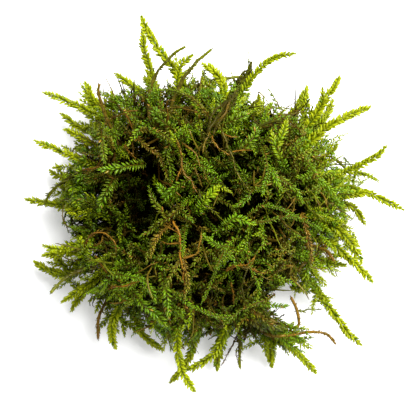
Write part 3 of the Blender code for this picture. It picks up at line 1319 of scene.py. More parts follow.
CLEARINGS = (
    Clearing((16.5, 27.0), (6.0, 3.2)),
    Clearing((11.5, 30.0), (5.0, 4.5)),
    Clearing((18.0, -25.0), (4.5, 6.0)),
    Clearing((22.5, -29.0), (6.0, 4.0)),
    Clearing((5.5, -34.5), (3.0, 1.8)),
    Clearing((-2.0, -32.5), (2.5, 1.5)),
)


class Zone(Enum):
    """Where the shoots of a layer start."""

    ANYWHERE = "anywhere"
    RIM = "rim"
    UNDERSIDE = "underside"


@dataclass(frozen=True)
class Layer:
    """One layer of the tangle.

    Attributes:
        name: Its name.
        habit: What grows in it.
        count: Number of shoots.
        length: Shortest and longest shoot.
        depths: Distance outside the skin at root, middle and tip.
        ages: Chart age of the freshest and the oldest shoot's tip.
        light: Chart light of the darkest and the brightest shoot.
        leaf: Leaf size share, smallest and largest.
        outward: How strongly shoots head away from the clump's middle, 0 to 1.
        wander: How much a shoot's heading wanders at each step.
        spacing: Distance from leaf to leaf.
        branches: Side shoots to each shoot, on average.
        zone: Where the shoots start.
    """

    name: str
    habit: Habit
    count: int
    length: tuple[float, float]
    depths: tuple[float, float, float]
    ages: tuple[float, float]
    light: tuple[float, float]
    leaf: tuple[float, float] = (0.8, 1.05)
    outward: float = 0.3
    wander: float = 0.24
    spacing: float = 0.3 * MM
    branches: float = 0.0
    zone: Zone = Zone.ANYWHERE


@dataclass(frozen=True)
class Sprig:
    """One listed shoot or stem, laid on the tangle.

    Attributes:
        name: What it is.
        age: Chart age at its tip.
        light: Chart light at its tip.
        size: Leaf size share of a leafy one, radius in millimetres of a bare one.
        lift: Millimetres that it lies above the skin.
        line: Millimetres east and north of its places, root first.
    """

    name: str
    age: float
    light: float
    size: float
    lift: float
    line: tuple[tuple[float, float], ...]


LEAFY_SPRIGS = tuple(Sprig(*row) for row in (
    ("sprig_over_hollow", 0.22, 0.85, 1, 1.5, ((-15.5, 17.5), (-17.5, 15.5), (-19.5, 13))),
    ("hollow_arc_upper", 0.55, 0.7, 0.9, 1.5, ((-17.5, 16), (-15, 16.5), (-11.5, 15.5), (-9.5, 13.5))),
    ("hollow_arc_olive", 0.6, 0.55, 0.8, 1,
     ((-17, 14.5), (-15, 12.5), (-12.5, 11), (-11, 8), (-10.5, 5.5), (-11.5, 3.5))),
    ("green_drop", 0.42, 0.55, 1, 1, ((-10, 15.5), (-10, 13), (-10.5, 11), (-9.5, 7.5), (-9.5, 4.5))),
    ("pair_high", 0.3, 0.85, 0.7, 2.5, ((-9.5, 14), (-7.5, 15.5), (-6, 17))),
    ("pair_low", 0.3, 0.8, 0.6, 2.5, ((-9, 14), (-7, 15.5), (-5, 16))),
    ("centre_fan", 0.2, 0.95, 1.35, 3, ((-3, -1), (-2, 0.5), (-0.5, 2), (1, 3.5))),
    ("centre_curl", 0.12, 0.85, 0.8, 3, ((0, 3), (1.5, 3.5), (3.5, 2.5))),
    ("east_fan", 0.27, 0.95, 1.3, 2.5, ((3, -4.5), (4.5, -3.5), (7, -4), (9, -4.5))),
    ("pale_drop", 0.45, 0.85, 0.9, 2, ((-11.5, -2.5), (-13, -0.5), (-14, 1.5), (-15, 3.5))),
    ("small_fan_high", 0.27, 0.9, 1.2, 2.5, ((-10.5, 1.5), (-11.5, 3), (-13, 4))),
    ("small_fan_low", 0.27, 0.9, 1.1, 2.5, ((-7, 4.5), (-9, 3), (-10.5, 1.5), (-11.5, 0))),
    ("tassel", 0.5, 0.8, 0.9, 2.5, ((-7.5, -1), (-10, -3), (-12, -4.5), (-14.5, -6), (-16.5, -7.5))),
    ("tassel_stub", 0.42, 0.75, 0.9, 2, ((-7.5, -1.5), (-6, -3), (-4.5, -4.5))),
    ("ochre_tassel", 0.7, 0.9, 0.8, 2.5, ((-11, -5.5), (-12.5, -8), (-13.5, -10), (-14, -12))),
    ("olive_tassel", 0.55, 0.75, 0.8, 2, ((-12, -6), (-13.5, -9), (-15, -11.5), (-15, -13.5))),
    ("lime_sprig", 0.25, 0.9, 0.7, 3.5, ((-6.5, -7), (-6.5, -9.5), (-7, -12))),
    ("fall_west", 0.55, 0.8, 0.8, 2.5, ((-7, -12.5), (-9, -15), (-10, -17.5), (-11, -19.5))),
    ("fall_middle", 0.66, 0.85, 0.75, 3, ((-7, -12.5), (-6, -15), (-6, -18), (-6.5, -21.5))),
    ("vee_left", 0.32, 0.95, 0.8, 3.5, ((11.5, 10.5), (12, 7.5), (11.5, 5), (10.5, 1.5))),
    ("vee_right", 0.28, 0.95, 0.85, 3.5, ((11.5, 8.5), (13, 6.5), (14, 4.5), (15, 2.5))),
    ("vee_far", 0.4, 0.9, 0.8, 2.5, ((14.5, 5.5), (17, 4), (18.5, 2.5), (20, 0))),
    ("upright_gold", 0.15, 0.85, 1.1, 3.5, ((15, 10), (14, 12.5), (13, 16))),
    ("east_arch", 0.32, 0.85, 0.65, 3, ((17.5, 12), (19, 13.5), (20.5, 14.5), (22, 14))),
    ("east_wye_left", 0.38, 0.85, 0.5, 3, ((22, 7), (21, 9), (20, 11.5))),
    ("east_wye_right", 0.28, 0.9, 0.95, 3, ((22, 8), (20.5, 6), (18.5, 5.5))),
    ("east_stripe", 0.25, 0.9, 0.9, 2.5, ((21.5, 8), (23.5, 5.5), (26, 3.5), (28, 1))),
    ("long_olive", 0.36, 0.6, 0.6, 2.5, ((7, -4.5), (11.5, -4), (16.5, -3), (21, -4.5), (25, -6.5))),
    ("long_olive_high", 0.32, 0.6, 0.6, 2.5,
     ((8, -2.5), (10, -1), (12.5, -0.5), (15.5, -2), (19, -3.5))),
    ("small_green", 0.3, 0.8, 0.9, 2, ((8, 1.5), (6.5, 0), (4.5, -1))),
    ("zigzag_high", 0.3, 0.95, 0.95, 3, ((2.5, -10), (0, -9), (-2.5, -7.5))),
    ("zigzag_low", 0.32, 0.95, 0.6, 3, ((2, -10), (3.5, -11.5), (4.5, -12.5), (5.5, -14.5))),
    ("ring_left", 0.38, 0.85, 0.55, 3, ((2, -10.5), (0.5, -14), (-0.5, -17.5), (-2, -20.5), (-3, -23))),
    ("ring_bottom", 0.36, 0.9, 0.65, 3.5,
     ((12, -22), (9, -23), (6.5, -24.5), (3.5, -26), (0, -25.5), (-3, -24), (-5.5, -23))),
    ("ring_right", 0.25, 0.9, 0.55, 3, ((8, -14), (9, -16.5), (10, -19), (9.5, -22))),
    ("ring_arm", 0.3, 0.85, 0.8, 2, ((10, -22.5), (13, -23), (15.5, -23.5), (17.5, -24))),
    ("arch_south_west", 0.3, 0.9, 0.9, 3.5,
     ((-24, -16.5), (-21, -16), (-18, -16.5), (-15.5, -17.5), (-14, -19.5), (-13, -22.5))),
    ("sprig_south_west", 0.2, 0.95, 1.1, 3, ((-23.5, -17), (-25, -19), (-26, -21))),
    ("plume_south", 0.32, 0.95, 1.15, 3, ((-11, -18), (-10.5, -21), (-10.5, -23.5), (-10, -25.5))),
    ("plume_south_west", 0.28, 0.9, 1.3, 2.5,
     ((-17.5, -21.5), (-15.5, -23.5), (-13.5, -25), (-11, -28))),
    ("mound_green", 0.4, 0.8, 1.2, 2, ((-23, -20), (-21, -22), (-18.5, -23))),
    ("fan_west", 0.22, 0.9, 1.2, 2, ((-34.5, 7), (-33, 4.5), (-32.5, 2), (-31, -1))),
    ("hollow_fan", 0.33, 0.95, 1.3, 3, ((-17.5, 8.5), (-20.5, 8), (-23, 7.5), (-25.5, 7.5))),
    ("hollow_fan_west", 0.38, 0.75, 1.3, 1.5, ((-23.5, 4), (-24.5, 2.5), (-25.5, 0.5), (-26.5, -1.5))),
    ("olive_fall_west", 0.5, 0.85, 1.15, 2, ((-26.5, 18.5), (-25.5, 15.5), (-25, 12.5), (-24.5, 9.5))),
    ("patch_west_high", 0.15, 0.9, 1.3, 2.5, ((-30, -12), (-30.5, -10.5), (-31, -8))),
    ("patch_west_low", 0.2, 0.9, 1.25, 2.5, ((-32.5, -14.5), (-30.5, -12.5), (-29, -11), (-28, -9.5))),
    ("brown_plume_south_east", 0.72, 0.85, 0.8, 2.5,
     ((20.5, -4.5), (21.5, -8.5), (22, -11.5), (22.5, -14.5))),
    ("centre_green", 0.33, 0.8, 1, 2, ((-3, 8), (-1.5, 7.5), (0.5, 6.5))),
    ("north_green_a", 0.38, 0.75, 1.1, 2, ((7, 12.5), (9, 15), (9, 17.5))),
    ("north_green_b", 0.4, 0.7, 1.2, 2, ((3, 18), (5.5, 19), (8, 20))),
    ("north_green_c", 0.35, 0.75, 1.1, 2, ((2, 20.5), (1, 23), (0.5, 25))),
    ("north_green_d", 0.33, 0.7, 1.1, 2, ((-11.5, 18), (-13, 19.5), (-13.5, 22))),
    ("north_pale_arc", 0.5, 0.8, 0.7, 3, ((-2, 20.5), (-4.5, 23.5), (-7.5, 25), (-11, 26), (-13.5, 26))),
))

RIM_SPRIGS = tuple(Sprig(*row) for row in (
    ("north_fill_a", 0.1, 0.8, 0.9, 1, ((-12.5, 24.5), (-13.5, 27), (-15, 29.5), (-16.5, 30.5))),
    ("north_fill_b", 0.12, 0.75, 0.9, 0, ((-10, 25), (-10.5, 28), (-11.5, 30))),
    ("north_fill_c", 0.1, 0.8, 0.95, 1, ((-8, 25), (-7.5, 28), (-9, 31))),
    ("north_fill_d", 0.14, 0.75, 0.9, 0, ((-6, 25), (-7, 27.5), (-8, 30))),
    ("north_fill_e", 0.1, 0.8, 0.9, 1, ((-15, 24.5), (-15, 27), (-14, 30))),
    ("north_fill_f", 0.08, 0.8, 0.8, 2, ((-8.5, 28.5), (-8, 31), (-6.5, 32))),
    ("north_fill_g", 0.2, 0.75, 0.8, 0, ((-3.5, 24.5), (-1.5, 26.5), (0.5, 29))),
    ("north_fill_h", 0.15, 0.75, 0.8, -1, ((-2, 24), (-2.5, 26), (-3.5, 28))),
    ("north_west_pale", 0.05, 0.85, 0.8, 1, ((-28, 21.5), (-29.5, 24.5), (-30.5, 28.5))),
    ("north_west_short", 0.1, 0.8, 0.9, 1, ((-27.5, 22), (-30, 23.5), (-32.5, 25))),
    ("north_west_hook", 0.2, 0.7, 0.7, 1, ((-26.5, 23.5), (-24, 24.5), (-22, 25.5), (-19.5, 26.5))),
    ("north_west_fill_a", 0.08, 0.8, 1, 0, ((-27.5, 19.5), (-30, 20.5), (-32, 23))),
    ("north_west_fill_b", 0.1, 0.8, 1, -1, ((-27, 16.5), (-30, 18), (-32.5, 20))),
    ("north_west_fill_c", 0.1, 0.8, 0.9, 0, ((-24.5, 22.5), (-25.5, 24), (-26.5, 25.5))),
    ("west_fill_a", 0.08, 0.85, 1, 0, ((-30, 10), (-33, 11), (-35, 12.5), (-36.5, 14))),
    ("west_fill_b", 0.06, 0.85, 1.05, -1, ((-31, 7.5), (-34, 8.5), (-36.5, 9), (-39, 8.5))),
    ("west_fill_c", 0.08, 0.85, 1.05, -2, ((-32, 4), (-35, 5), (-37, 6.5), (-38.5, 9.5))),
    ("west_fill_d", 0.1, 0.8, 1, 0, ((-30.5, 1), (-33, 1), (-35.5, 0), (-37.5, -1.5))),
    ("west_fill_e", 0.08, 0.85, 1.1, -1, ((-31, 5.5), (-33.5, 4), (-36, 2), (-37.5, 0))),
    ("west_fill_f", 0.12, 0.8, 1.1, -2, ((-31.5, -0.5), (-34, 1), (-36, 3), (-38, 4.5))),
    ("west_fill_g", 0.1, 0.8, 1, 0, ((-30.5, 12.5), (-32.5, 13.5), (-33.5, 15))),
    ("west_fill_h", 0.1, 0.85, 1, -3, ((-32, 2.5), (-35, 3), (-37.5, 2.5), (-39, 1.5))),
    ("west_fill_i", 0.08, 0.8, 1, -1, ((-31, 9), (-33.5, 7.5), (-35.5, 6), (-37.5, 4))),
    ("south_west_fill_a", 0.08, 0.85, 1, 0, ((-30.5, -10.5), (-33, -10), (-35.5, -10), (-37.5, -11))),
    ("south_west_fill_b", 0.08, 0.85, 1, -1, ((-30, -14.5), (-33, -15), (-36, -15.5), (-40, -14.5))),
    ("south_west_fill_c", 0.12, 0.8, 1, -1, ((-31, -16), (-34.5, -17), (-37.5, -18), (-40, -16.5))),
    ("south_west_fill_d", 0.2, 0.8, 0.7, -2, ((-31, -16.5), (-34, -18), (-36.5, -20), (-38.5, -21))),
    ("south_west_fill_e", 0.06, 0.85, 1, -1, ((-31, -12.5), (-34, -12), (-36.5, -11.5), (-39, -11.5))),
    ("south_west_fill_f", 0.12, 0.8, 1, -2, ((-28.5, -19.5), (-31, -20.5), (-33, -21), (-35, -20.5))),
    ("south_west_fill_g", 0.1, 0.8, 1, -2, ((-27, -21.5), (-29, -23), (-30.5, -24))),
    ("south_fill_a", 0.14, 0.8, 0.9, -2, ((-27, -21), (-25.5, -24), (-24.5, -27), (-25.5, -30.5))),
    ("south_fill_b", 0.12, 0.8, 1, -1, ((-24.5, -23.5), (-23, -26.5), (-22, -29.5), (-21.5, -32.5))),
    ("south_fill_c", 0.15, 0.8, 1, 0, ((-22.5, -24), (-20.5, -26.5), (-18.5, -29.5), (-17, -31.5))),
    ("south_fill_d", 0.25, 0.8, 1, 0, ((-15, -27), (-13, -29.5), (-11, -31.5), (-8.5, -32.5))),
    ("south_fill_e", 0.3, 0.75, 1, -1, ((-15, -28.5), (-13.5, -30.5), (-11.5, -33))),
    ("south_fill_f", 0.2, 0.85, 1, 0, ((-11, -29.5), (-9, -32), (-8.5, -35))),
    ("south_fill_g", 0.2, 0.85, 1.1, -2, ((-4, -30.5), (-5, -34), (-6, -36.5), (-7.5, -39))),
    ("south_fill_h", 0.35, 0.65, 0.7, -2, ((-1, -31), (-4, -33), (-8, -35))),
    ("south_fill_i", 0.15, 0.8, 0.8, -1, ((1.5, -31), (3, -34), (1.5, -37))),
    ("south_fill_j", 0.15, 0.8, 0.8, -2, ((4.5, -31), (2, -34), (-1, -36))),
    ("south_fill_k", 0.4, 0.65, 0.6, -3, ((8, -32), (7, -35), (6.5, -37.5))),
    ("south_fill_l", 0.15, 0.8, 0.7, -1, ((13, -32), (10, -34), (6, -36))),
    ("south_fill_m", 0.15, 0.8, 0.8, -2, ((13, -32.5), (16, -34.5), (18, -37))),
    ("south_fill_n", 0.1, 0.8, 1, -1, ((11.5, -32), (14.5, -33.5), (18, -34), (21, -33.5))),
    ("south_fill_o", 0.4, 0.65, 0.7, -3, ((10, -32), (11.5, -34.5), (12.5, -36))),
    ("south_east_fill_a", 0.08, 0.85, 1, -1, ((16.5, -32), (19.5, -33), (21.5, -34.5), (23.5, -35.5))),
    ("south_east_fill_b", 0.1, 0.85, 0.9, -1, ((16.5, -31.5), (19.5, -31.5), (21, -30.5), (23, -31))),
    ("south_east_fill_c", 0.15, 0.8, 0.8, -2, ((15.5, -33), (17.5, -35), (19.5, -36))),
    ("south_east_mass_a", 0.3, 0.7, 0.9, 7, ((11, -26.5), (14.5, -29.5), (18.5, -31.5), (22, -32.5))),
    ("south_east_mass_b", 0.45, 0.6, 0.9, 7, ((9.5, -27.5), (13, -30), (16.5, -32), (20, -33))),
    ("south_east_mass_c", 0.35, 0.7, 0.9, 7, ((12, -28), (15, -31), (18, -33.5), (21.5, -35.5))),
    ("south_east_mass_d", 0.2, 0.8, 0.9, 6, ((13, -30), (16, -31.5), (19.5, -32), (23, -34))),
    ("south_east_mass_e", 0.5, 0.55, 0.8, 7, ((10, -25.5), (13.5, -28), (17, -30), (20, -30.5))),
    ("south_east_mass_f", 0.1, 0.85, 0.9, 4, ((17, -32.5), (19.5, -35), (22, -37.5))),
    ("south_east_mass_g", 0.35, 0.7, 0.8, 7, ((15, -27.5), (18, -29), (20.5, -30), (22.5, -31))),
    ("south_east_mass_h", 0.45, 0.6, 0.8, 6, ((16, -29.5), (18.5, -31), (21, -32), (23.5, -32))),
    ("south_east_fill_d", 0.08, 0.9, 1, 0, ((22, -15.5), (21.5, -18.5), (21, -21.5))),
    ("south_east_fill_e", 0.06, 0.9, 0.8, -2, ((21, -21.5), (23, -21.5), (25.5, -21))),
    ("south_east_fill_f", 0.06, 0.9, 1, 0, ((22.5, -14.5), (25, -17), (27.5, -20))),
    ("south_east_fill_g", 0.06, 0.9, 0.8, -2, ((25.5, -21), (27, -22.5), (29, -23.5))),
    ("south_east_fill_h", 0.08, 0.9, 0.8, -2, ((27, -24.5), (26, -24), (25, -24))),
    ("south_east_fill_i", 0.1, 0.85, 0.9, -1, ((24.5, -14), (26.5, -14), (29, -14.5), (32, -15))),
    ("east_fill_a", 0.2, 0.8, 0.8, 1, ((28, 4.5), (30.5, 5.5), (33.5, 5.5), (36, 5))),
    ("east_fill_b", 0.12, 0.85, 0.8, 0, ((32, 7.5), (34, 9), (36, 9.5), (38, 10))),
    ("east_fill_c", 0.1, 0.85, 0.7, 0, ((33.5, 9), (35, 7), (35.5, 5.5))),
    ("east_fill_d", 0.12, 0.85, 0.6, 0, ((35, 4.5), (36.5, 5.5), (38, 6))),
    ("east_fill_e", 0.15, 0.85, 0.9, 0, ((28.5, 0.5), (31.5, 1.5), (34, 2), (36.5, 2.5))),
    ("east_fill_f", 0.1, 0.8, 1, 0, ((28, 6.5), (30, 7.5), (32, 8))),
    ("east_fill_g", 0.1, 0.85, 1, -1, ((28, -4), (30.5, -6), (33, -8.5), (34.5, -11))),
    ("east_fill_h", 0.1, 0.85, 1, -1, ((28, -5), (31, -6), (33, -6.5), (34.5, -8))),
    ("east_fill_i", 0.06, 0.9, 0.8, -2, ((32, -9), (33, -11), (34, -12.5), (35, -14.5))),
    ("east_fill_j", 0.12, 0.8, 1, -1, ((26.5, -7), (30, -8), (32.5, -8.5), (34.5, -9))),
    ("east_fill_k", 0.1, 0.85, 0.9, -1, ((29.5, -0.5), (31.5, -2.5), (32.5, -5))),
    ("north_east_fill_a", 0.08, 0.85, 1.05, 0, ((21, 16.5), (21.5, 20), (22.5, 23.5), (22.5, 26.5))),
    ("north_east_fill_b", 0.12, 0.8, 1, 1, ((22, 16.5), (23.5, 19.5), (24, 23.5))),
    ("north_east_fill_c", 0.14, 0.8, 1, 0, ((19.5, 16), (20, 19.5), (20.5, 22.5), (20.5, 25))),
    ("north_east_fill_d", 0.12, 0.8, 1, -1, ((23.5, 17.5), (24.5, 20.5), (25, 23.5))),
    ("north_fill_i", 0.08, 0.9, 1, 0, ((6.5, 19), (9, 21.5), (10.5, 24))),
    ("north_fill_j", 0.08, 0.9, 1, -1, ((4.5, 21), (6.5, 23), (8, 25))),
))

# A sprig's light is painted light; the sprigs given little, such as the dark, knot and rope ones, are
# darkened with painted shade.
BARE_SPRIGS = tuple(Sprig(*row) for row in (
    ("trunk_upper", 0.75, 0.8, 0.3, 3, ((-9, 15), (-8, 12), (-7, 9.5), (-6.5, 7), (-5, 5), (-3.5, 2.5))),
    ("trunk_lower", 0.3, 0.6, 0.3, 2.5, ((-3.5, 2.5), (-2.5, 0), (-0.5, -2), (2, -4))),
    ("trunk_fork_west", 0.9, 0.9, 0.24, 3, ((-7, 8.5), (-7.5, 6.5), (-8.5, 4))),
    ("trunk_fork_east", 0.75, 0.8, 0.26, 3, ((-7, 13.5), (-5, 12), (-3.5, 10.5), (-3, 8))),
    ("trunk_twig", 0.7, 0.8, 0.18, 2.5, ((-4.5, 7.5), (-3, 6), (-2.5, 3.5))),
    ("orange_stem", 0.95, 0.95, 0.3, 3.5,
     ((-9, -4), (-8, -6.5), (-7.5, -9.5), (-7.5, -12.5), (-7, -15.5), (-6.5, -19.5), (-6.5, -24))),
    ("orange_branch_high", 0.9, 0.85, 0.22, 3, ((-8, -7), (-9, -6), (-10.5, -5.5))),
    ("orange_branch_low", 0.85, 0.8, 0.22, 3, ((-7.5, -9), (-9.5, -9), (-12, -9))),
    ("orange_hook", 0.8, 0.9, 0.34, 3.5, ((-7.5, -12), (-5.5, -12), (-4, -11), (-3.5, -9), (-3, -7))),
    ("ochre_hook", 0.6, 0.95, 0.34, 3, ((-1.5, 17.5), (-1, 15), (-2, 13), (-2.5, 11))),
    ("ochre_curve", 0.85, 0.95, 0.22, 3, ((-0.5, 14.5), (0.5, 12.5), (2, 11.5), (3.5, 10.5))),
    ("long_brown", 0.45, 0.75, 0.3, 3, ((-0.5, 19), (1.5, 15.5), (3, 12), (4.5, 9), (5.5, 6), (8, 3))),
    ("twig_high", 0.9, 0.8, 0.2, 3, ((2, 16), (3.5, 15), (5, 14.5))),
    ("twig_middle", 0.9, 0.8, 0.2, 3, ((3.5, 11), (6, 11.5), (8, 11.5))),
    ("brown_loop", 0.85, 0.75, 0.3, 2.5,
     ((-29.5, -10), (-28, -8), (-26.5, -7), (-24.5, -6.5), (-23, -8), (-22, -10.5))),
    ("brown_loop_inner", 0.8, 0.7, 0.24, 2.5, ((-29, -10), (-27, -10), (-25.5, -9), (-25, -7.5))),
    ("brown_west_low", 0.85, 0.6, 0.3, 2, ((-27.5, -12.5), (-26, -14.5), (-24.5, -16.5), (-24, -19.5))),
    ("orange_under", 0.95, 0.85, 0.28, 3, ((-24.5, -19.5), (-22, -19), (-19, -18.5), (-16.5, -18))),
    ("ring_brown_left", 0.95, 0.85, 0.26, 3, ((3, -15.5), (5, -14.5), (7.5, -14), (9, -12.5))),
    ("ring_brown_right", 0.9, 0.7, 0.22, 2.5, ((7.5, -14), (9.5, -15), (12, -15.5))),
    ("hollow_twig", 0.9, 0.6, 0.22, 1.5, ((4, -18), (4.5, -20.5), (4.5, -23.5))),
    ("brown_west_high", 0.85, 0.6, 0.24, 1.5,
     ((-30, 7.5), (-27.5, 8), (-26, 8), (-24, 6.5), (-22, 5.5))),
    ("hollow_thread", 0.95, 0.7, 0.14, 2, ((-20, 13), (-19, 11.5), (-18, 10))),
    ("dark_branch_north_east", 0.25, 0.25, 0.45, 2, ((9, 17), (11.5, 18), (14.5, 18.5), (18, 19.5))),
    ("brown_north_east", 0.6, 0.6, 0.3, 2, ((16.5, 19.5), (18.5, 17.5), (20.5, 14.5))),
    ("green_stem_north_east", 0.05, 0.8, 0.24, 1.5, ((9.5, 20), (13, 22), (16, 23), (19, 23.5))),
    ("knot_south_east", 0.6, 0.4, 0.42, 1, ((19.5, -16), (21.5, -14), (24, -12), (26.5, -10))),
    ("orange_out", 0.9, 0.9, 0.22, 0, ((26, -10), (27.5, -11.5), (28.5, -14))),
    ("blob_arch", 0.5, 0.75, 0.28, 2.5,
     ((8.5, -28.5), (10, -27.5), (13, -28.5), (15, -30), (16.5, -32))),
    ("blob_arch_low", 0.55, 0.5, 0.28, 1.5, ((5.5, -33.5), (7.5, -30.5), (9, -29.5))),
    ("tendril_loop", 0.05, 0.85, 0.2, 1,
     ((-22.5, 24.5), (-22.5, 26.5), (-21.5, 27.5), (-20, 27), (-19, 25.5))),
    ("stub_north_west", 0.8, 0.6, 0.45, 0, ((-16.5, 23.5), (-17.5, 25.5), (-19, 28))),
    ("orange_north_west", 0.95, 0.95, 0.3, 2, ((-26.5, 20.5), (-24, 22), (-21, 23.5), (-19, 26))),
    ("wye_north_west", 0.7, 0.5, 0.25, 1, ((-28.5, 19.5), (-27, 22.5), (-26, 25), (-26.5, 27.5))),
    ("wye_north_west_arm", 0.1, 0.7, 0.16, 1, ((-26, 25.5), (-25.5, 26.5), (-25, 27.5))),
    ("thorn_north", 0.1, 0.7, 0.16, 0, ((9, 33), (8.5, 35), (8, 36))),
    ("thorn_north_fine", 0.05, 0.8, 0.1, 0, ((9, 33.5), (9, 36), (9, 37.5))),
    ("crossing_west", 0.05, 0.75, 0.25, 0, ((-33, 10.5), (-35.5, 7.5), (-37.5, 4.5), (-40, 1))),
    ("loop_west", 0.2, 0.6, 0.22, -2,
     ((-35, -0.5), (-36.5, -2.5), (-36.5, -5), (-35.5, -7), (-33.5, -8.5))),
    ("loop_west_inner", 0.1, 0.7, 0.2, -1, ((-34.5, -2), (-35, -4.5), (-33.5, -7), (-31.5, -9))),
    ("dark_bow_west", 0.3, 0.3, 0.35, 0, ((-34.5, -2.5), (-33.5, -5.5), (-31.5, -8.5))),
    ("double_south_west", 0.15, 0.7, 0.25, -2, ((-31, -15.5), (-33.5, -17.5), (-36, -19.5), (-38, -21))),
    ("knot_south", 0.85, 0.4, 0.5, -1, ((-11, -31), (-9, -33), (-7.5, -35.5))),
    ("root_south_a", 0.75, 0.6, 0.22, -2, ((6, -32.5), (4.5, -35.5), (2, -39.5))),
    ("root_south_b", 0.75, 0.65, 0.2, -2, ((8, -32), (6, -36), (6.5, -39.5))),
    ("root_south_c", 0.6, 0.6, 0.22, -2, ((2, -32), (1, -35.5), (1, -39))),
    ("dark_run_south", 0.3, 0.4, 0.28, 0, ((-20.5, -27), (-17, -29.5), (-13.5, -31), (-9, -34))),
    ("bar_south_east", 0.05, 0.7, 0.25, -3, ((21, -26.5), (23.5, -26), (27.5, -26))),
    ("tendril_south_east", 0.05, 0.85, 0.12, -3, ((29.5, -15.5), (30, -17), (30.5, -18.5))),
    ("claw_south_east", 0.2, 0.5, 0.25, -1, ((24, -14), (25.5, -15.5), (27.5, -16.5))),
    ("drop_east", 0.25, 0.4, 0.2, -1, ((32, 3.5), (32.5, 0), (31.5, -4.5))),
    ("rope_north_a", 0.38, 0.38, 0.5, 3, ((-1.5, 15.5), (0.5, 18.5), (2, 21), (4.5, 25))),
    ("rope_north_b", 0.45, 0.42, 0.45, 3, ((-0.5, 15), (1.5, 18.5), (3.5, 21.5), (5.5, 25.5))),
    ("rope_north_c", 0.4, 0.32, 0.5, 3, ((0.5, 16), (1, 19.5), (3, 22.5), (5, 26))),
    ("rope_north_d", 0.65, 0.42, 0.4, 3.5, ((0, 17), (2.5, 20.5), (3.5, 23), (6, 27))),
    ("rope_north_e", 0.4, 0.35, 0.45, 3, ((-1, 17.5), (0, 20), (2.5, 23), (4.5, 26.5))),
    ("rope_north_f", 0.42, 0.4, 0.45, 3.5, ((1.5, 19), (3, 21.5), (4.5, 24), (6.5, 28))),
    ("brown_run_north", 0.7, 0.6, 0.28, 2, ((-4, 20), (-8, 21.5), (-11.5, 21), (-15, 22))),
    ("brown_run_west", 0.75, 0.6, 0.26, 2, ((-17.5, 21), (-21, 20.5), (-24.5, 19), (-27, 16.5))),
))


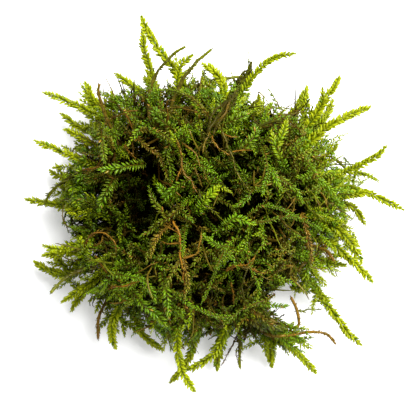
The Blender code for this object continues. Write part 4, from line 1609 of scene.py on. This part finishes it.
@dataclass
class Tangle:
    """The matted body: hundreds of shoots and old stems grown over and under its skin.

    Attributes:
        tree: The tree that dresses them.
        node: The CAD node that they stand for.
        seed: Seed of the whole growth.
        swirl_seed: Seed of the swirls that the shoots lie in.
        step: Length of one growing step.
    """

    tree: ShootTree
    node: str = "moss_tangle"
    seed: int = 5
    swirl_seed: int = 7
    step: float = 1.3 * MM

    BLADE = LeafBlade("tangle_leaf", length=1.3 * MM, width=0.58 * MM)
    SCALE = LeafBlade("tangle_scale", length=0.95 * MM, width=0.36 * MM)
    SPRIG_BLADE = LeafBlade("sprig_leaf", length=1.4 * MM, width=0.56 * MM,
                            rows=((0.25, 0.85), (0.6, 0.85)),
                            cup=0.13 * MM, thickness=0.05 * MM, curl=0.12 * MM)
    SHEATH_AGE = 0.2
    RIM_REACH = 25 * MM
    UNDERSIDE_REACH = 29 * MM
    UNDERSIDE_TOP = 1.5 * MM
    UNDERSIDE_SHARE = 0.4
    SWIRL_SCALE = 70.0
    SHORTEST = 5
    KNOT_FIBRES = 46
    SIDE_SHOOT_CHANCE = 0.6
    LAYERS = (
        # The three litter layers are old dead shoots given almost no chart light: painted shade under the
        # clump, in its middle and inside its rim, which keeps the gaps dark.
        Layer("ground_litter", Habit.LEAFY, 250, (14 * MM, 24 * MM), (-2 * MM, -2.5 * MM, -2 * MM),
              (0.5, 0.8), (0.0, 0.02), (2.3, 2.8), 0.0, 0.2, 0.8 * MM, 0.0, Zone.UNDERSIDE),
        Layer("inner_litter", Habit.LEAFY, 170, (12 * MM, 20 * MM), (-14 * MM, -14 * MM, -12 * MM),
              (0.5, 0.8), (0.0, 0.05), (2.0, 2.5), 0.1, 0.24, 0.7 * MM),
        Layer("deep_shoots", Habit.LEAFY, 190, (12 * MM, 20 * MM), (-9 * MM, -8 * MM, -6 * MM),
              (0.36, 0.66), (0.6, 1.2), (1.0, 1.3), 0.2, 0.24, 0.34 * MM),
        Layer("woven_shoots", Habit.LEAFY, 260, (11 * MM, 20 * MM), (-6 * MM, -4 * MM, -2.5 * MM),
              (0.26, 0.6), (0.6, 1.4), (0.8, 1.05), 0.25, 0.26, 0.28 * MM),
        Layer("outer_shoots", Habit.LEAFY, 270, (9 * MM, 16 * MM), (-5 * MM, -1.5 * MM, 0.3 * MM),
              (0.16, 0.58), (0.65, 1.5), (0.72, 1.0), 0.25, 0.28, 0.26 * MM, 0.7),
        Layer("fringe_shoots", Habit.LEAFY, 200, (7 * MM, 12 * MM), (-4 * MM, 0.5 * MM, 3.5 * MM),
              (0.03, 0.4), (0.55, 1.3), (0.8, 1.05), 0.6, 0.24, 0.26 * MM, 1.0, Zone.RIM),
        Layer("old_stems", Habit.BARE, 150, (10 * MM, 24 * MM), (-7 * MM, -3.5 * MM, -1.5 * MM),
              (0.1, 0.75), (0.3, 0.9), (0.6, 1.0), 0.2, 0.3, 0.8 * MM, 0.5),
        Layer("rim_stems", Habit.BARE, 80, (8 * MM, 16 * MM), (-3 * MM, 0.5 * MM, 2.5 * MM),
              (0.15, 0.75), (0.25, 0.7), (0.6, 1.0), 0.4, 0.34, 0.7 * MM, 0.6, Zone.RIM),
        Layer("woven_stems", Habit.BARE, 110, (8 * MM, 18 * MM), (-3 * MM, 0.4 * MM, 0.8 * MM),
              (0.15, 0.8), (0.4, 0.9), (0.6, 1.0), 0.2, 0.32, 0.8 * MM, 0.4),
        Layer("side_litter", Habit.LEAFY, 80, (8 * MM, 14 * MM), (-5 * MM, -5 * MM, -4 * MM),
              (0.45, 0.7), (0.05, 0.3), (1.4, 1.8), 0.1, 0.24, 0.5 * MM, 0.0, Zone.RIM),
    )

    def __post_init__(self) -> None:
        """Prepare the skin that the shoots follow."""
        noise.seed_set(self.swirl_seed)
        self.guide = MatGuide(self.node)
        self.ceiling = CAD_BOX[1][2] - 1.6 * MM
        self.floor = 1.4 * MM
        self.starts = self._starts()

    def _starts(self) -> list[tuple[Vector, float]]:
        """List where shoots may start.

        Returns:
            The middles of the skin's faces with their areas, the underside counting less.
        """
        starts = []
        for face in self.guide.faces:
            corners = [self.guide.places[index] for index in face]
            middle = sum(corners, Vector()) / 4
            area = (corners[2] - corners[0]).cross(corners[3] - corners[1]).length / 2
            share = self.UNDERSIDE_SHARE if middle.z < self.UNDERSIDE_TOP else 1.0
            starts.append((middle, area * share))
        return starts

    def _starts_in(self, place: Vector, zone: Zone) -> bool:
        """Tell whether a place of the skin lies in a zone.

        Args:
            place: The place.
            zone: The zone.

        Returns:
            Whether it does.
        """
        away = Vector((place.x, place.y)).length
        if zone is Zone.RIM:
            return away > self.RIM_REACH
        if zone is Zone.UNDERSIDE:
            return away < self.UNDERSIDE_REACH and place.z < self.UNDERSIDE_TOP
        return True

    def _heading(self, place: Vector, normal: Vector, layer: Layer, random: Random) -> Vector:
        """Return a first heading along the skin.

        Args:
            place: Where the shoot is rooted.
            normal: The outward direction there.
            layer: The layer that it grows in.
            random: The source of chance.

        Returns:
            A heading of length 1.
        """
        swirl = noise.noise_vector(place * self.SWIRL_SCALE)
        chance = jitter(random, z=0.5)
        outward = Vector((place.x, place.y, 0)).normalized()
        rim = min(Vector((place.x, place.y)).length / 0.03, 1.0)
        heading = swirl * 1.4 + chance + outward * layer.outward * 2.2 * rim
        return (heading - normal * heading.dot(normal)).normalized()

    def _grown(self, start: Vector, layer: Layer, random: Random) -> list[Vector]:
        """Grow one middle line, step by step, along the skin.

        Args:
            start: The place on the skin over the root.
            layer: The layer that it grows in.
            random: The source of chance.

        Returns:
            The line's points, root first.
        """
        normal, _ = self.guide.nearest(start)
        heading = self._heading(start, normal, layer, random)
        place = start + normal * layer.depths[0]
        steps = max(4, round(random.uniform(*layer.length) / self.step))
        place -= heading * self.step * steps * 0.45
        bend = random.gauss(0, layer.wander * 0.5)
        turn = 0.0
        points = []
        for index in range(steps + 1):
            place = Vector((place.x, place.y, min(max(place.z, self.floor), self.ceiling)))
            if any(clearing.holds(place) for clearing in CLEARINGS):
                break
            points.append(place.copy())
            share = index / steps
            first, middle, last = layer.depths
            target = first + (middle - first) * min(share * 2, 1) + (last - middle) * max(share * 2 - 1, 0)
            normal, depth = self.guide.nearest(place)
            turn = turn * 0.6 + random.gauss(0, layer.wander)
            side = normal.cross(heading)
            pull = max(-0.5, min(0.5, (target - depth) / (4 * MM)))
            heading = (heading + side * (turn + bend) + normal * pull).normalized()
            place = place + heading * self.step
        return points

    def _side_shoot(self, points: list[Vector], up: Vector, random: Random) -> list[Vector]:
        """Grow a short side shoot out of a shoot's line.

        Args:
            points: The shoot's line.
            up: The side that the shoot's flat face looks to.
            random: The source of chance.

        Returns:
            The side shoot's points, root first.
        """
        seat = random.randrange(len(points) // 4, max(len(points) - 2, len(points) // 4 + 1))
        ahead = (points[min(seat + 1, len(points) - 1)] - points[max(seat - 1, 0)]).normalized()
        side = up.cross(ahead) * random.choice((-1, 1))
        line = [points[seat]]
        heading = (ahead + side * random.uniform(0.8, 1.4) + up * random.uniform(-0.2, 0.3)).normalized()
        for _ in range(random.randrange(3, 6)):
            line.append(line[-1] + heading * self.step)
            heading = (heading + ahead * 0.12 - up * 0.05).normalized()
            line[-1].z = max(line[-1].z, self.floor)
        return line

    def _dressed(self, points: list[Vector], layer: Layer, random: Random) -> list[Route]:
        """Dress a grown line and its side shoots.

        Args:
            points: The line, root first.
            layer: The layer that it grew in.
            random: The source of chance.

        Returns:
            The routes, with their ages and lights.
        """
        normal, _ = self.guide.nearest(points[len(points) // 2])
        normal.z = abs(normal.z)
        up = (normal + Vector((0, 0, 0.5)) + jitter(random) * 0.45).normalized()
        age, light = random.uniform(*layer.ages), random.uniform(*layer.light)
        leafy = layer.habit is Habit.LEAFY
        girth = random.uniform(0.13, 0.17) if leafy else random.uniform(0.16, 0.3)
        lines = [points]
        while random.random() < layer.branches / (1 + layer.branches):
            lines.append(self._side_shoot(points, up, random))
        routes = []
        for line in lines:
            ages, lights = [], []
            for index, place in enumerate(line):
                older = 0.22 * (1 - index / len(line)) if leafy else 0.0
                ages.append(min(max(age + older + self._older(place), 0.02), 0.97))
                lights.append(light * self._lit(place))
            routes.append(Route(line, up, ages, lights, cover=(0.8, 1.0),
                                leaf=random.uniform(*layer.leaf), girth=girth * MM,
                                lean=math.radians(44 if leafy else 28)))
        return routes

    def _older(self, place: Vector) -> float:
        """Work out the age that a place adds: less at the rim, more in brown patches.

        Args:
            place: The place.

        Returns:
            The added age.
        """
        rim = Vector((place.x, place.y)).length / MM
        fresh = -0.14 * min(max((rim - 24) / 10, 0), 1)
        return fresh + sum(patch.age * patch.weight(place) for patch in PATCHES)

    def _lit(self, place: Vector) -> float:
        """Work out how much light reaches a place on or under the skin.

        Args:
            place: The place.

        Returns:
            The share of the light.
        """
        _, depth = self.guide.nearest(place)
        # Painted shade: the chart light falls with depth under the skin, then each patch paints shade or
        # light over it.
        share = min(max(1.1 + depth / (6.5 * MM), 0.03), 1.0)
        for patch in PATCHES:
            share *= 1.0 - (1.0 - patch.light) * patch.weight(place)
        return share

    def _set_by_hand(self, sprig: Sprig, leafy: bool) -> Route:
        """Lay one sprig over the skin.

        Args:
            sprig: The sprig.
            leafy: Whether it is a leafy shoot or a bare stem.

        Returns:
            Its route.
        """
        random = Random(sprig.name)
        points = []
        for index, (east, north) in enumerate(sprig.line):
            x, y = east * MM, north * MM
            lift = (sprig.lift - (0.0 if leafy else 1.0)) * (0.4 if index == 0 else 1.0)
            height = self.guide.height(x, y) + lift * MM
            sway = jitter(random, z=1.5) * 0.3 * MM
            points.append(Vector((x, y, max(height, self.floor))) + sway)
        up = Vector((random.uniform(-0.3, 0.3), random.uniform(-0.3, 0.3), 1.0)).normalized()
        # Painted shade: each sprig's chart light falls towards its root.
        if leafy:
            inward = (points[0] - points[1]).normalized() * 2.5 * MM - Vector((0, 0, 2 * MM))
            points.insert(0, points[0] + inward)
            return Route(points, up, (sprig.age + 0.25, sprig.age + 0.1, sprig.age),
                         light=(sprig.light * 0.6, sprig.light), cover=(0.8, 1.0),
                         leaf=0.1 + 0.82 * sprig.size, girth=0.16 * MM,
                         lean=math.radians(45), swell=0.15)
        smooth = Route(points, up, (0.0,)).walked(1.5 * MM)
        kinked = [place + jitter(random) * 0.24 * MM for place in smooth]
        return Route(kinked, up, (sprig.age - self.SHEATH_AGE,),
                     light=(sprig.light * 0.65, sprig.light * 0.85), cover=(0.8,),
                     leaf=random.uniform(0.9, 1.2), girth=sprig.size * 0.78 * MM,
                     lean=math.radians(36))

    def _with_side_shoots(self, route: Route) -> list[Route]:
        """Give a listed shoot its side shoots, if it is a fresh one.

        Args:
            route: The shoot's route.

        Returns:
            The shoot's route, and those of its side shoots after it.
        """
        random = Random(round(route.points[-1].x * 1e6))
        routes = [route]
        line = route.walked(self.step)
        fresh = route.age[-1]
        while fresh < 0.16 and random.random() < self.SIDE_SHOOT_CHANCE:
            side = self._side_shoot(line, route.up, random)
            routes.append(replace(route, points=side, age=(fresh + 0.1, fresh), cover=(1.0,)))
        return routes

    def _knot(self) -> list[Route]:
        """Mat the dark fibres of the black knot in the south, darkened with painted shade: a low chart light.

        Returns:
            The fibres' routes.
        """
        random = Random(self.seed)
        routes = []
        for _ in range(self.KNOT_FIBRES):
            place = Vector((random.gauss(11.0, 1.9), random.gauss(-28.8, 0.9), random.uniform(9, 15))) * MM
            along = Vector((random.uniform(0.3, 1.0), random.uniform(-0.7, 0.5), random.uniform(-0.3, 0.3)))
            half = along.normalized() * random.uniform(1.2, 3.2) * MM
            bow = Vector((random.uniform(-1, 1), random.uniform(-1.5, 1.5), random.uniform(-1, 1.5))) * MM
            routes.append(Route([place - half, place + bow, place + half], Vector((0, 0, 1)), (0.35,),
                                light=(random.uniform(0.0, 0.35),), leaf=0.8,
                                girth=random.uniform(0.15, 0.32) * MM, lean=math.radians(28)))
        return routes

    def build(self, leaf: bpy.types.Material, stem: bpy.types.Material) -> None:
        """Build every layer and every set of sprigs, each as one piece.

        Args:
            leaf: The leaves' material.
            stem: The old stems' material.
        """
        blade = self.BLADE.build()
        scale = self.SCALE.build()
        for number, layer in enumerate(self.LAYERS):
            routes = self._layer_routes(number, layer)
            if layer.habit is Habit.LEAFY:
                dressing = Dressing(layer.spacing, flatness=0.7, scatter=0.25, sides=3,
                                    stem_step=1.1 * MM, stem_age=0.25, stem_light=0.55, seed=number)
                piece = self.tree.grow(layer.name, routes, blade, dressing, leaf)
            else:
                dressing = Dressing(layer.spacing, flatness=0.1, scatter=0.6, sides=5,
                                    stem_step=0.9 * MM, stem_age=0.0, stem_light=1.0, seed=number)
                piece = self.tree.grow(layer.name, routes, scale, dressing, stem)
            dress(piece, "matted_moss", self.node)
        fine = self.SPRIG_BLADE.build()
        dressing = Dressing(0.2 * MM, flatness=0.8, scatter=0.25, sides=4,
                            stem_step=0.7 * MM, stem_age=0.32, stem_light=0.4, seed=3)
        for name, sprigs in (("laid_shoots", LEAFY_SPRIGS), ("rim_shoots", RIM_SPRIGS)):
            routes = []
            for sprig in sprigs:
                routes += self._with_side_shoots(self._set_by_hand(sprig, True))
            dress(self.tree.grow(name, routes, fine, dressing, leaf), "matted_moss", self.node)
        routes = [self._set_by_hand(sprig, False) for sprig in BARE_SPRIGS] + self._knot()
        dressing = Dressing(0.26 * MM, flatness=0.1, scatter=0.7, sides=6,
                            stem_step=0.5 * MM, stem_age=self.SHEATH_AGE, stem_light=1.0, seed=9)
        dress(self.tree.grow("laid_stems", routes, scale, dressing, stem), "matted_moss", self.node)
        for helper in (blade, scale, fine):
            bpy.data.objects.remove(helper, do_unlink=True)

    def _layer_routes(self, number: int, layer: Layer) -> list[Route]:
        """Grow one layer.

        Args:
            number: The layer's place in the list of layers.
            layer: The layer.

        Returns:
            The routes of its shoots and their side shoots.
        """
        random = Random(self.seed * 100 + number)
        places = [place for place, _ in self.starts]
        weights = [area * self._starts_in(place, layer.zone) for place, area in self.starts]
        routes = []
        for start in random.choices(places, weights, k=layer.count):
            points = self._grown(start + jitter(random) * MM, layer, random)
            if len(points) > self.SHORTEST:
                routes += self._dressed(points, layer, random)
        return routes


# ---------------------------------------- studio


@dataclass
class Studio:
    """The plain pale floor, the soft light and the camera that looks straight down.

    Attributes:
        centre: Middle of the view on the floor.
        frame_width: Width of the view at the clump's middle height.
        view_height: Height at which that width is measured.
        lens: The camera's focal length, in millimetres.
        sensor: The camera's sensor width, in millimetres.
        floor_reach: Half the floor's side.
        key_place: Where the soft light hangs.
        key_size: The soft light's side.
        key_power: The soft light's power, in watts.
        sky: Strength of the light from all round.
    """

    centre: tuple[float, float] = (-1.3 * MM, -1.2 * MM)
    frame_width: float = 99.84 * MM
    view_height: float = 12.0 * MM
    lens: float = 100.0
    sensor: float = 36.0
    floor_reach: float = 1.5
    key_place: tuple[float, float, float] = (0.28, 0.27, 0.54)
    key_size: float = 0.5
    key_power: float = 14.5
    sky: float = 0.45

    def build(self) -> None:
        """Build the floor, the lights and the camera."""
        self._floor()
        self._camera()
        self._light()
        self._world()
        view = bpy.context.scene.view_settings
        view.view_transform = "Standard"
        view.look = "None"

    def _floor(self) -> None:
        """Lay the floor."""
        shape = bmesh.new()
        bmesh.ops.create_grid(shape, x_segments=8, y_segments=8, size=self.floor_reach)
        mesh = bpy.data.meshes.new("floor")
        shape.to_mesh(mesh)
        shape.free()
        mesh.materials.append(FloorFinish().build())
        placed("floor", mesh)

    def _camera(self) -> None:
        """Hang the camera over the clump."""
        data = bpy.data.cameras.new("camera")
        data.lens = self.lens
        data.sensor_width = self.sensor
        data.clip_start = 0.01
        data.clip_end = 10.0
        camera = placed("camera", data)
        distance = self.frame_width * self.lens / data.sensor_width
        camera.location = (*self.centre, self.view_height + distance)
        bpy.context.scene.camera = camera

    def _light(self) -> None:
        """Hang the soft square light that looks at the clump."""
        data = bpy.data.lights.new("soft_key", "AREA")
        data.shape = "SQUARE"
        data.size = self.key_size
        data.energy = self.key_power
        light = placed("soft_key", data)
        light.location = self.key_place
        light.rotation_euler = (-Vector(self.key_place)).to_track_quat("-Z", "Y").to_euler()

    def _world(self) -> None:
        """Light everything softly from all round."""
        world = bpy.data.worlds.new("soft_room")
        world.use_nodes = True
        writer = TreeWriter(world.node_tree)
        sky = writer.node("ShaderNodeBackground", None, {"Color": (1.0, 1.0, 1.0, 1.0), "Strength": self.sky})
        writer.node("ShaderNodeOutputWorld", None, {"Surface": sky})
        bpy.context.scene.world = world


def main() -> None:
    """Build the clump and its studio."""
    logging.basicConfig(level=logging.INFO, format="%(name)s: %(message)s")
    Studio().build()
    tree = ShootTree()
    leaf = LEAF_FINISH.build()
    stem = STEM_FINISH.build()
    StandingPieces(tree).build(leaf, stem)
    Tangle(tree).build(leaf, stem)
    bpy.data.node_groups.remove(tree.tree)


if __name__ == "__main__":
    main()
